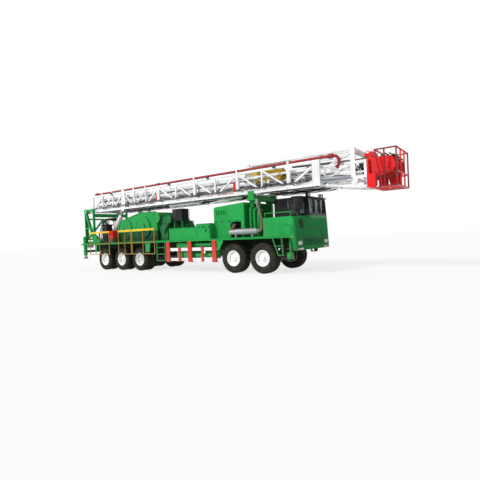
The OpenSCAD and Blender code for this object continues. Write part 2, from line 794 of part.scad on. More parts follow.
module drawworks_case() {
	plate_y1 = drawworks_w / 2;
	color("green") place() {
		difference() {
			union() {
				both_sides() {
					plate_y(plate_y1 - side_plate_t, plate_y1) case_profile();
					for (c = cover_table)
						difference() {
							bar_y(drawworks_x0 + c[0], c[1], 2 * c[2], plate_y1 - 1, plate_y1 + c[3]);
							bar_y(drawworks_x0 + c[0], c[1], 2 * c[2] - 90, plate_y1 + c[3] - 14, plate_y1 + c[3] + 1);
						}
				}
				// Closed gear case ahead of the drum
				intersection() {
					plate_y(-plate_y1 + 10, plate_y1 - 10) offset(delta = -40) case_profile();
					span([case_split_x, -plate_y1, deck_top], [drawworks_x1, plate_y1, drawworks_z]);
				}
				span([drawworks_x0, -plate_y1 + 10, deck_top], [drawworks_x0 + 60, plate_y1 - 10, deck_top + 160]);
			}
			bar_y(drum_x, drum_z, drum_shaft_d + 2 * run_gap, -plate_y1 - 120, plate_y1 + 120);
		}
		// Edge strips of the side plates
		both_sides() plate_y(plate_y1 - 1, plate_y1 + 24) difference() {
			case_profile();
			offset(delta = -26) case_profile();
		}
	}
}

module drum() {
	flange_t = 40;
	flange_y = drawworks_w / 2 - side_plate_t - 30;
	brake_d = drum_flange_d - 40;
	color("dimgray") place() {
		bar_y(drum_x, drum_z, 460, -flange_y, flange_y);
		both_sides() {
			bar_y(drum_x, drum_z, drum_flange_d, flange_y - 200, flange_y - 200 + flange_t);
			bar_y(drum_x, drum_z, brake_d, flange_y - 170, flange_y);
		}
		// Ridges of the rope's lay
		for (i = [0 : 11])
			bar_y(drum_x, drum_z, 500, -540 + i * 91, -540 + i * 91 + 78);
		bar_y(drum_x, drum_z, drum_shaft_d, -drawworks_w / 2 + 2, drawworks_w / 2 - 2);
	}
}

module gearbox() {
	case_y = 760;
	cooler_x = [-5150, -4500];
	cooler_y = [-700, -240];
	cooler_z = [2240, 2780];
	color("darkgreen") place() {
		// Chain case with its tapered head
		plate_y(-case_y, case_y)
			polygon([[-5920, deck_top], [-5430, deck_top], [-5430, 2290], [-5560, 2470], [-5830, 2470], [-5920, 2350]]);
		both_sides() {
			bar_y(-5675, 1900, 420, case_y - 1, case_y + 40);
			bar_y(-5675, 2290, 260, case_y - 1, case_y + 30);
		}
		// Bell housing, transmission and drive shaft
		translate([-5431, 0, shaft_z]) rotate([0, 90, 0]) cylinder(d1 = 860, d2 = 640, h = 220);
		bar_x(-5212, -4720, 0, shaft_z, 640);
		for (x = [-5150, -5000, -4850])
			bar_x(x, x + 40, 0, shaft_z, 700);
		// Pump on the right-hand side
		bar_y(-5340, 2330, 370, -800, -100);
		span([-5300, -300, deck_top], [-5240, 300, shaft_z]);
		span([-4860, -300, deck_top], [-4800, 300, shaft_z]);
		bar_x(-4721, hood_x0 + 120, 0, shaft_z, shaft_d);
		for (x = [-4721, -3560, hood_x0 + 70])
			bar_x(x, x + 50, 0, shaft_z, shaft_d + 56);
	}
	// Oil cooler with its fins on the right-hand side, carried by the transmission and two legs
	color("black") place() {
		span([cooler_x[0], cooler_y[0], cooler_z[0]], [cooler_x[1] - 80, cooler_y[1], cooler_z[1]]);
		for (i = [0 : 8])
			span([cooler_x[0] + 20, cooler_y[0], cooler_z[0] + 30 + i * 56],
				[cooler_x[1], cooler_y[1], cooler_z[0] + 50 + i * 56]);
		for (x = [cooler_x[0] + 40, cooler_x[1] - 140])
			span([x, -660, deck_top], [x + 60, -600, cooler_z[0] + 1]);
		span([cooler_x[0] + 60, -300, 2200], [cooler_x[1] - 120, 100, cooler_z[0] + 1]);
	}
}

// Mast stand at the rear, two latticed side frames with the pivot's ears

stand_y = lower_y + 150;
stand_t = 120;
stand_post = 110;
stand_top = pivot_z + 110;
stand_beam_z = [2780, 2960];
pivot_d = 120;
pivot_ear_d = 240;
foot_x1 = stand_x1 + 500;

module mast_stand() {
	frame_h = stand_top - deck_top;
	color("green") place() {
		both_sides() {
			difference() {
				union() {
					side_lattice(stand_x0, stand_y, deck_top, [[stand_len, 1]], frame_h, stand_post, stand_post, stand_t);
					bar_y(pivot_x, pivot_z, pivot_ear_d, stand_y - 20, stand_y + stand_t + 20);
					// Tie at the middle of the frame, and the gusset at its foot
					span([stand_x0, stand_y + 20, 2150], [stand_x1, stand_y + stand_t - 20, 2230]);
					plate_y(stand_y, stand_y + stand_t)
						polygon([[stand_x1 - 1, deck_top], [foot_x1, deck_top], [foot_x1, deck_top + 60],
							[stand_x1 + 120, deck_top + 420], [stand_x1 - 1, deck_top + 480]]);
				}
				bar_y(pivot_x, pivot_z, pivot_d + 2 * run_gap, stand_y - 21, stand_y + stand_t + 21);
			}
			// Housings of the rear jacks with their brackets
			jack_housing(jack_rear_x, jack_y, jack_foot_z + 190, 1750);
			for (z = [1440, 1640])
				span([jack_rear_x - 60, stand_y + stand_t - 1, z], [jack_rear_x + 60, jack_y - jack_d / 2 + 12, z + 60]);
			// Brackets and pins that carry the raising cylinders
			for (y = [lift_y - 105, lift_y + 55])
				plate_y(y, y + 50)
					polygon([[lift_base[0] - 220, deck_top], [lift_base[0] + 220, deck_top],
						[lift_base[0] + 80, lift_base[1] + 60], [lift_base[0] - 80, lift_base[1] + 60]]);
			bar_y(lift_base[0], lift_base[1], 60, lift_y - 60, lift_y + 60);
		}
		// Beams between the side frames, below the mast
		span([stand_x1 - 200, -stand_y - 1, stand_beam_z[0]], [stand_x1 - 20, stand_y + 1, stand_beam_z[1]]);
		span([stand_x1 - 200, -stand_y - 1, deck_top], [stand_x1 - 20, stand_y + 1, deck_top + 160]);
		// Lattice across the rear, between the posts
		translate([stand_x0 + 20, -stand_y - 1, 1560]) rotate([90, 0, 90]) linear_extrude(80)
			lattice([[stand_y + 1, -1], [stand_y + 1, 1]], 1180, 80, 80);
	}
	// Red tool box beside the drawworks, right-hand side
	color("red") place() span([-9160, -half_w + 120, deck_top], [-8850, -drawworks_w / 2 - 80, 1970]);
}

// Levelling jacks: housings on the carrier, legs that slide down

module jack_housing(x, y, z0, z1) {
	translate([x, y, z0]) difference() {
		union() {
			cylinder(d = jack_d, h = z1 - z0);
			cylinder(d = jack_d + 30, h = 40);
		}
		translate([0, 0, -1]) cylinder(d = leg_d + 2 * slide_gap, h = z1 - z0 - 9);
	}
}

module jack_leg(x, z1) {
	foot_d = jack_d + 60;
	foot_t = 40;
	color("silver") place() {
		bar_z(x, 0, jack_foot_z + foot_t - 1, z1, leg_d);
		bar_z(x, 0, jack_foot_z, jack_foot_z + foot_t, foot_d);
		translate([x, 0, jack_foot_z + foot_t - 0.5]) cylinder(d1 = foot_d, d2 = leg_d, h = 40);
	}
}

module jack_mid_r() { translate([0, -jack_mid_y, 0]) jack_leg(jack_mid_x, deck_z - 30); }
module jack_mid_l() { translate([0, jack_mid_y, 0]) jack_leg(jack_mid_x, deck_z - 30); }
module jack_rear_r() { translate([0, -jack_y, 0]) jack_leg(jack_rear_x, 1730); }
module jack_rear_l() { translate([0, jack_y, 0]) jack_leg(jack_rear_x, 1730); }

// Side guard, tanks, ladders and stowed handrails

guard_x = [-4930, -3635, -2310];
guard_post_w = 200;
guard_z0 = 434;
guard_t = 50;
guard_rail_t = 40;

module guard_posts() {
	color("red") place() both_sides() {
		for (x = guard_x) {
			plate_y(half_w - guard_t, half_w)
				polygon([[x, guard_z0], [x + guard_post_w, guard_z0], [x + guard_post_w, deck_z], [x, deck_z]]);
			// Foot turned inwards below the rail
			span([x, half_w - guard_t - guard_rail_t - 30, guard_z0],
				[x + guard_post_w, half_w - guard_t + 1, guard_z0 + 36]);
		}
		for (x = [-4200, -2900])
			span([x, half_w - guard_t, guard_z0 + 20], [x + 110, half_w, 1060]);
	}
}

module guard_rails() {
	color("white") place() both_sides()
		for (z = [[474, 604], [900, 1030]])
			span([guard_x[0], half_w - guard_t - guard_rail_t, z[0]],
				[guard_x[2] + guard_post_w, half_w - guard_t, z[1]]);
}

plate_z = deck_top - 10;
tank_y1 = half_w - guard_t - guard_rail_t - 70;
tank_x = [-4420, -3580];
bottle_d = 170;
bottle_x = [-3380, -2480];

module tanks() {
	strap_w = 60;
	tank_y0 = tank_y1 - 600;
	bottle_y = tank_y1 - bottle_d / 2;
	color("green") place() both_sides() {
		difference() {
			span([tank_x[0], tank_y0, 560], [tank_x[1], tank_y1, 1240]);
			// Rounded lower edges
			for (y = [tank_y0, tank_y1])
				translate([tank_x[0] - 1, y, 560]) rotate([45, 0, 0]) translate([0, -35, -35])
					cube([tank_x[1] - tank_x[0] + 2, 70, 70]);
		}
		for (x = [tank_x[0] + 150, tank_x[1] - 150 - strap_w]) {
			span([x, tank_y0, 1239], [x + strap_w, tank_y1, plate_z]);
			span([x, tank_y0 - 8, 600], [x + strap_w, tank_y1 + 8, 1241]);
		}
		// Air bottles
		for (z = [1140, 700])
			bar_x(bottle_x[0], bottle_x[1], bottle_y, z, bottle_d);
		for (x = [bottle_x[0] + 90, bottle_x[1] - 130])
			span([x, bottle_y - 30, 640], [x + 40, bottle_y + 30, plate_z]);
		// Housings of the middle jacks
		jack_housing(jack_mid_x, jack_mid_y, jack_foot_z + 90, plate_z);
	}
}

// Ladders hang outside the deck's edge channel and stop at its underside
ladder_t = 50;
ladder_rung_h = 36;

module ladders() {
	front_low = 667;
	rear_low = 470;
	rear_x = [-5560, -4980];
	color("gray") place() both_sides() {
		// Front steps: the rear string leans forward
		plate_y(half_w - ladder_t, half_w) {
			polygon([[490, deck_z], [540, deck_z], [770, front_low], [715, front_low]]);
			polygon([[860, deck_z], [910, deck_z], [945, front_low], [895, front_low]]);
		}
		for (z = [front_low, 1000])
			span([z < 800 ? 715 : 600, half_w - ladder_t - 90, z],
				[z < 800 ? 945 : 925, half_w, z + ladder_rung_h]);
		// Rear steps
		for (x = [rear_x[0], rear_x[1] - 50])
			span([x, half_w - ladder_t, rear_low], [x + 50, half_w, deck_z]);
		for (i = [0 : 2])
			span([rear_x[0], half_w - ladder_t - 90, rear_low + i * 290],
				[rear_x[1], half_w, rear_low + i * 290 + ladder_rung_h]);
	}
}

// Handrail panels hung on the deck's edge: rear end, front end
handrail_table = [[-10640, -8960], [-8240, -7250], [-7220, -5620]];
handrail_d = 40;
handrail_y = half_w + handrail_d / 2 + run_gap;

module handrails() {
	post_z = [780, 1960];
	r = handrail_d / 2;
	color("gold") place() both_sides() for (p = handrail_table) {
		for (i = [0 : 2])
			bar_z(p[0] + r + i * (p[1] - p[0] - handrail_d) / 2, handrail_y, post_z[0], post_z[1], handrail_d);
		for (z = [post_z[0] + r, 1325])
			bar_x(p[0] + r, p[1] - r, handrail_y, z, handrail_d - 4);
		span([p[0] + 3, handrail_y - r + 3, post_z[1] - 90], [p[1] - 3, handrail_y + r - 3, post_z[1]]);
	}
}

// Axles, knuckles and wheels

spindle_d = 110;
front_spindle_y = front_wheel_y + 60;
rear_spindle_y = rear_outer_y + 40;
kingpin_d = 50;
knuckle_h = 220;
fork_t = 40;
leaf_n = 4;
leaf_t = 18;

module front_axles() {
	fork_z = knuckle_h / 2 + run_gap;
	spring_z = front_r + 130;
	color("black") place() for (x = [axle_x[0], axle_x[1]]) {
		span([x - 60, -620, front_r - 190], [x + 60, 620, front_r - 50]);
		both_sides() {
			span([x - 60, 600, front_r - fork_z - fork_t], [x + 60, 660, front_r + fork_z + fork_t]);
			for (z = [front_r - fork_z - fork_t, front_r + fork_z])
				span([x - 60, 659, z], [x + 60, kingpin_y + 45, z + fork_t]);
			bar_z(x, kingpin_y, front_r - fork_z - 1, front_r + fork_z + 1, kingpin_d);
			// Leaf spring with its hangers up to the rail
			for (i = [0 : leaf_n - 1])
				span([x - 190 - 87 * i, rail_y, spring_z + i * leaf_t],
					[x + 190 + 87 * i, rail_y + 75, spring_z + (i + 1) * leaf_t + 0.5]);
			span([x - 80, rail_y, front_r - 51], [x + 80, rail_y + 75, spring_z + 1]);
			for (end = [-450, 370])
				span([x + end, rail_y, spring_z + leaf_n * leaf_t - 1], [x + end + 80, rail_y + 75, rail_z]);
		}
	}
}

module rear_axles() {
	brake_d = 400;
	color("black") place() {
		for (x = [axle_x[2], axle_x[3], axle_x[4]]) {
			bar_y(x, rear_r, spindle_d, -rear_spindle_y, rear_spindle_y);
			bar_y(x, rear_r, 180, -rear_inner_y + 60, rear_inner_y - 60);
			translate([x, 0, rear_r]) sphere(d = 420);
			bar_x(x - 240, x + 240, 0, rear_r, 150);
			both_sides() {
				bar_y(x, rear_r, brake_d, rear_inner_y - 190, rear_inner_y - 45);
				span([x - 100, rail_y - 80, rear_r + 60], [x + 100, rail_y + 10, rail_z]);
			}
		}
		// Walking beams of the springs along the rail
		both_sides() span([axle_x[4] - 120, rail_y - 70, rail_z - 130], [axle_x[2] + 120, rail_y, rail_z - 60]);
		// Drive shaft to the first rear axle
		bar_x(axle_x[2] + 200, -5000, 0, rear_r + 60, 110);
	}
}

module knuckle(x) {
	brake_y = [kingpin_y + 85, front_wheel_y - 35];
	color("dimgray") place() translate([x, 0, front_r]) difference() {
		union() {
			bar_z(0, kingpin_y, -knuckle_h / 2, knuckle_h / 2, 120);
			bar_y(0, 0, spindle_d, kingpin_y + 30, front_spindle_y);
			bar_y(0, 0, 400, brake_y[0], brake_y[1]);
		}
		bar_z(0, kingpin_y, -knuckle_h, knuckle_h, kingpin_d + 2 * run_gap);
	}
}

module knuckle_r1() { mirror([0, 1, 0]) knuckle(axle_x[0]); }
module knuckle_l1() { knuckle(axle_x[0]); }
module knuckle_r2() { mirror([0, 1, 0]) knuckle(axle_x[1]); }
module knuckle_l2() { knuckle(axle_x[1]); }

// Section of a tyre with chamfered shoulders, measured from the axle
module tyre_section(r, w) {
	inner = rim_d / 2 - 20;
	crown = w / 2 - 45;
	polygon([[inner, -w / 2 + 30], [inner + 70, -w / 2], [r - 60, -w / 2], [r, -crown],
		[r, crown], [r - 60, w / 2], [inner + 70, w / 2], [inner, w / 2 - 30]]);
}

// One tyre and its rim about the Y axis, the dished disc towards +Y
module wheel_ring(r, w, disc_y) {
	hub_r = 150;
	disc_t = 16;
	bore_r = spindle_d / 2 + run_gap;
	rim_r = rim_d / 2;
	rotate([-90, 0, 0]) {
		color("black") rotate_extrude() tyre_section(r, w);
		color("white") difference() {
			rotate_extrude() {
				translate([rim_r - 40, -w / 2 + 30]) square([30, w - 60]);
				for (side = [-1, 1])
					translate([rim_r - 41, side * (w / 2 - 26) - 10]) square([36, 20]);
				// Dished disc
				polygon([[bore_r, disc_y - disc_t], [hub_r + 20, disc_y - disc_t], [rim_r - 36, disc_y - 70],
					[rim_r - 36, disc_y - 50], [hub_r + 30, disc_y], [bore_r, disc_y]]);
				translate([bore_r, disc_y - 90]) square([hub_r - bore_r - 40, 160]);
			}
			// Hand holes
			for (a = [0 : 45 : 315])
				rotate([0, 0, a]) translate([rim_r - 85, 0, disc_y - 120]) cylinder(d = 56, h = 140, $fn = 20);
		}
	}
}

module front_wheel(x) {
	place() translate([x, front_wheel_y, front_r]) wheel_ring(front_r, front_tyre_w, 110);
}

module rear_wheel(x) {
	place() translate([x, 0, rear_r]) {
		translate([0, rear_outer_y, 0]) wheel_ring(rear_r, rear_tyre_w, -20);
		translate([0, rear_inner_y, 0]) wheel_ring(rear_r, rear_tyre_w, 60);
		rotate([-90, 0, 0]) translate([0, 0, rear_inner_y]) difference() {
			cylinder(d = 220, h = rear_outer_y - rear_inner_y);
			translate([0, 0, -1]) cylinder(d = spindle_d + 2 * run_gap, h = rear_outer_y - rear_inner_y + 2);
		}
	}
}

module wheel_l1() { front_wheel(axle_x[0]); }
module wheel_r1() { mirror([0, 1, 0]) front_wheel(axle_x[0]); }
module wheel_l2() { front_wheel(axle_x[1]); }
module wheel_r2() { mirror([0, 1, 0]) front_wheel(axle_x[1]); }
module wheel_l3() { rear_wheel(axle_x[2]); }
module wheel_r3() { mirror([0, 1, 0]) rear_wheel(axle_x[2]); }
module wheel_l4() { rear_wheel(axle_x[3]); }
module wheel_r4() { mirror([0, 1, 0]) rear_wheel(axle_x[3]); }
module wheel_l5() { rear_wheel(axle_x[4]); }
module wheel_r5() { mirror([0, 1, 0]) rear_wheel(axle_x[4]); }

// Mast

lower_x0 = pivot_x - 130;
upper_x0 = upper_end - upper_len;
front_frame_x = lower_end - 70;
tail_bay = (splice_x - heel_x) / tail_bays;
front_bay = (front_frame_x - splice_x) / front_bays;
web_t = 60;

// Leans of the diagonals ahead of the splice: 1 falls forward, -1 rises forward
front_leans = [1, 1, 1, -1, 1, 1, -1];
tail_leans = [-1, -1, -1, 1, -1, -1];
lower_bays = [for (i = [0 : tail_bays + front_bays - 1])
	i < tail_bays ? [tail_bay, tail_leans[i % len(tail_leans)]]
		: [front_bay, front_leans[(i - tail_bays) % len(front_leans)]]];
heavy_post_w = 130;
tail_node_x = [for (i = [1 : tail_bays - 1]) heel_x + i * tail_bay];
guide_x = [for (i = [4, 0]) splice_x + i * front_bay - heavy_post_w / 2 + 10];
pad_h = 120;
pipe_y = lower_y - 50;
pipe_z = lower_z1 + standpipe_d / 2 + 5;

// Guide pads between the two sections, on the lower section's mouth
module mouth_pads() {
	pad_l = 160;
	for (x = [lower_end - 200, lower_end - 1300]) {
		for (z = [upper_z0 + 20, upper_z1 - pad_h - 20])
			span([x, upper_y + slide_gap, z], [x + pad_l, lower_y - lower_chord + 1, z + pad_h]);
		span([x, -1, lower_z0], [x + pad_l, lower_y - lower_chord + 1, lower_z0 + lower_chord]);
		span([x, upper_y - upper_chord, lower_z0 + lower_chord - 1],
			[x + pad_l, upper_y - 10, upper_z0 - slide_gap]);
	}
}

// Heel of a side frame: a plate that carries the pivot pin, with a sloped top
module heel_plate() {
	plate_y(lower_y - lower_chord, lower_y)
		polygon([[lower_x0, lower_z0], [heel_x + 1, lower_z0], [heel_x + 1, lower_z1],
			[heel_x - 60, lower_z1], [lower_x0, pivot_z + 120]]);
}

// Tube of one of the two rams carried below the mast's right-hand side
module ram_tubes() {
	ram_d = 120;
	ram_y = -lower_y + 210;
	ram_z = lower_z0 - 85;
	bar_x(-5300, -3500, ram_y, ram_z, ram_d);
	bar_x(-3530, -3500, ram_y, ram_z, ram_d + 60);
	bar_x(-5330, -5300, ram_y, ram_z, ram_d + 20);
	for (x = [splice_x + front_bay, splice_x + 2 * front_bay])
		span([x - 40, ram_y - 40, ram_z], [x + 40, ram_y + 40, lower_z0 + 1]);
	translate([-2900, ram_y, ram_z - 80]) rotate([0, 90 - 4, 0]) {
		cylinder(d = 70, h = 620);
		translate([0, 0, 500]) cylinder(d = ram_d, h = 1080);
	}
	bar_y(-1318, ram_z + 28, 90, ram_y - 75, ram_y + 75);
	for (x = [splice_x + 3 * front_bay, splice_x + 4 * front_bay])
		span([x - 35, ram_y - 35, ram_z - 30], [x + 35, ram_y + 35, lower_z0 + 1]);
}

module lower_side() {
	inner = lower_y - lower_chord;
	// Chords, and the web between them
	for (z = [lower_z0, lower_z1 - lower_chord])
		span([heel_x, inner, z], [lower_end, lower_y, z + lower_chord]);
	side_lattice(heel_x, inner + (lower_chord - web_t) / 2, lower_z0, lower_bays, lower_h,
		lower_chord - 1, web_t, web_t);
	heel_plate();
	// Heavy posts with their gussets
	for (i = [0 : 2 : front_bays - 1]) {
		x = splice_x + i * front_bay;
		span([x - heavy_post_w / 2, inner, lower_z0 + 1], [x + heavy_post_w / 2, lower_y, lower_z1 - 1]);
		for (end = [[lower_z0 + lower_chord, 130], [lower_z1 - lower_chord, -130]])
			plate_y(lower_y - 30, lower_y - 10) translate([x, end[0]])
				polygon([[-190, 0], [190, 0], [80, end[1]], [-80, end[1]]]);
	}
	// End block of the mouth, with a groove down its face
	difference() {
		span([front_frame_x - 210, inner, lower_z0 + 180], [front_frame_x + 69, lower_y, lower_z1 - 1]);
		span([front_frame_x - 120, lower_y - 12, lower_z0 + 230],
			[front_frame_x - 60, lower_y + 1, lower_z1 - 80]);
	}
	plate_y(inner, lower_y)
		polygon([[front_frame_x - 260, lower_z0 + 1], [lower_end, lower_z0 + 1], [lower_end, lower_z0 + 181],
			[front_frame_x - 180, lower_z0 + 181]]);
	// Heavy plate above the raising cylinder
	plate_y(lower_y - 1, lower_y + 14)
		polygon([[-8620, lower_z0 - 85], [-8440, lower_z0 - 85], [-8290, lower_z0 + 60], [-8290, lower_z1 - 2],
			[-8530, lower_z1 - 2], [-8600, lower_z0 + 120]]);
	span([-8530, lower_y + 11, lower_z1 - 220], [-8290, lower_y + 27, lower_z1 + 60]);
	mouth_pads();
	// Pivot pin
	bar_y(pivot_x, pivot_z, pivot_d, lower_y - 1, stand_y + stand_t);
	bar_y(pivot_x, pivot_z, pivot_ear_d, lower_y - 1, lower_y + 60);
	// Lug beside the raising cylinder's eye
	plate_y(lift_y + lug_y, lift_y + lug_y + 40) {
		translate([lift_eye[0] - 70, lift_eye[1]]) square([140, lower_z0 + 1 - lift_eye[1]]);
		translate(lift_eye) circle(r = 70);
	}
	// Straps and saddles of the standpipe
	for (x = concat(tail_node_x, [for (i = [2 : 2 : front_bays - 1]) splice_x + i * front_bay])) {
		difference() {
			union() {
				span([x - 36, lower_y - 1, lower_z1 - 330], [x + 36, lower_y + 12, lower_z1]);
				span([x - 36, pipe_y - 62, lower_z1 - 1], [x + 36, lower_y + 12, lower_z1 + standpipe_d + 16]);
			}
			bar_x(x - 37, x + 37, pipe_y, pipe_z, standpipe_d + 2 * run_gap);
		}
	}
}

module mast_lower() {
	inner = lower_y - lower_chord;
	color("white") place() {
		both_sides() lower_side();
		// Lattice across the bottom, with cross beams at the heavy posts
		translate([heel_x, -inner - 1, lower_z0 + 10])
			linear_extrude(lower_chord - 30) lattice(lower_bays, 2 * inner + 2, 50, 60);
		for (x = concat([heel_x - 60, lift_eye[0] - 70],
				[for (i = [0 : 2 : front_bays - 1]) splice_x + i * front_bay - 60]))
			span([x, -inner - 1, lower_z0], [x + 130, inner + 1, lower_z0 + lower_chord - 20]);
		ram_tubes();
	}
	// Guides and rails that the upper section runs between
	color("red") place() both_sides() for (x = guide_x) {
		span([x - 210, upper_y + swing_gap, upper_z0 + pad_h - 20], [x, inner + 1, upper_z1 - pad_h - 40]);
		span([x - 1700, upper_y + swing_gap + 10, lower_z0 + lower_chord - 1],
			[x - 200, inner + 1, lower_z0 + lower_chord + 34]);
		span([x - 1700, upper_y + swing_gap + 10, lower_z0 + 20], [x, inner + 1, lower_z0 + lower_chord]);
	}
}

// Upper section

nose_x = upper_end - 470;
upper_bay = (nose_x - upper_x0) / upper_bays;
upper_side_bays = [for (i = [0 : upper_bays - 1]) [upper_bay, i % 2 == 0 ? 1 : -1]];
board_x0 = upper_end - 4600;
board_t = 60;
board_pin_d = 40;
board_z = upper_z1 + 395;
board_y = board_w / 2;
block_x = upper_end - 4170;
block_z = upper_z1 + 75;
block_r = 250;
block_half = 600;
block_w = 400;
cradle_x = [block_x - 480, block_x + 420];

// Frame of the nose that stands above the section and carries the front of the board
module nose_frame() {
	foot_x = nose_x - 50;
	frame_z1 = board_z - swing_gap;
	plate_y(upper_y - upper_chord, upper_y) {
		translate([foot_x, upper_z0 + 1]) square([150, frame_z1 - 61 - upper_z0]);
		bar_2d([foot_x - 760, upper_z1 - 40], [foot_x + 20, frame_z1 - 90], 70);
	}
	span([foot_x, -1, frame_z1 - 80], [foot_x + 150, upper_y, frame_z1]);
}

// Foot below the nose's chords and the tubes that run on from it
module mast_nose() {
	foot_x = nose_x - 50;
	y0 = upper_y - upper_chord;
	color("white") place() both_sides() difference() {
		union() {
			plate_y(y0, upper_y)
				translate([foot_x, upper_z0]) polygon([[0, 0], [230, 0], [200, -181], [20, -181]]);
			plate_y(y0 + 10, upper_y - 10) {
				bar_2d([lower_end + 130, upper_z0 - 115], [foot_x + 100, upper_z0 - 250], 60);
				bar_2d([foot_x + 60, upper_z0 - 250], [upper_end - 6, upper_z0 - 280], 60);
				bar_2d([lower_end + 150, upper_z0 - 120], [lower_end + 260, upper_z0 + 5], 50);
				bar_2d([foot_x + 110, upper_z0 - 175], [foot_x + 110, upper_z0 - 275], 90);
			}
		}
		span([lower_end, y0 - 1, upper_z0 - run_gap], [upper_end + 1, upper_y + 1, upper_z0 + 300]);
	}
}

module upper_side() {
	inner = upper_y - upper_chord;
	web = 50;
	for (z = [upper_z0, upper_z1 - upper_chord])
		span([upper_x0, inner, z], [upper_end, upper_y, z + upper_chord]);
	side_lattice(upper_x0, inner + (upper_chord - web) / 2, upper_z0, upper_side_bays, upper_h,
		upper_chord - 1, web, web);
	// Rail inside the bottom chord, seen through the lattice
	bar_x(upper_x0 + 10, upper_end - 10, inner + 20, upper_z0 + 200, 44);
	// Frames at the two ends
	for (x = [upper_x0, upper_end - 80])
		span([x, inner + 1, upper_z0 + 1], [x + 80, upper_y - 1, upper_z1 - 1]);
	// Guide pads at the tail, against the lower section's chords
	for (z = [upper_z0 + 10, upper_z1 - pad_h - 5])
		span([upper_x0 + 20, upper_y - 1, z],
			[upper_x0 + 180, lower_y - lower_chord - slide_gap, z + (z < upper_z0 + 20 ? 78 : pad_h)]);
	// Posts and cross beams that cradle the travelling block
	for (x = cradle_x) {
		span([x, inner + 5, upper_z0 + 5], [x + 80, upper_y - 5, upper_z1 - 5]);
		span([x, -1, block_z - block_r - 80], [x + 80, inner + 10, block_z - block_r]);
	}
	// Post and pin of the racking board's hinge
	difference() {
		plate_y(board_y + swing_gap, upper_y)
			polygon([[board_x0 - 180, upper_z1 - 1], [board_x0 + 180, upper_z1 - 1],
				[board_x0 + 50, board_z + board_t + 10], [board_x0 - 50, board_z + board_t + 10]]);
		span([board_x0 - 30, board_y, upper_z1 + 80], [board_x0 + 30, upper_y + 1, board_z - 90]);
	}
	bar_y(board_x0, board_z + board_t / 2, board_pin_d, board_y - 50, board_y + swing_gap + 1);
	nose_frame();
}

module mast_upper() {
	inner = upper_y - upper_chord;
	color("white") place() {
		both_sides() upper_side();
		translate([upper_x0, -inner - 1, upper_z0 + 10])
			linear_extrude(50) lattice(upper_side_bays, 2 * inner + 2, 50, 55);
		for (x = [upper_x0, upper_end - 80])
			for (z = [upper_z0 + 1, upper_z1 - 81])
				span([x, -inner - 1, z], [x + 80, inner + 1, z + 80]);
		// Cross bar between the travelling block and the board
		bar_y(board_x0, board_z - 40, 50, -board_y - swing_gap - 1, board_y + swing_gap + 1);
	}
}

// Crown

crown_x = upper_end;
sheave_x = crown_x + 580;
sheave_z = upper_z0 + 325;
sheave_n = 5;
sheave_pitch = 150;
shaft_end_y = 540;

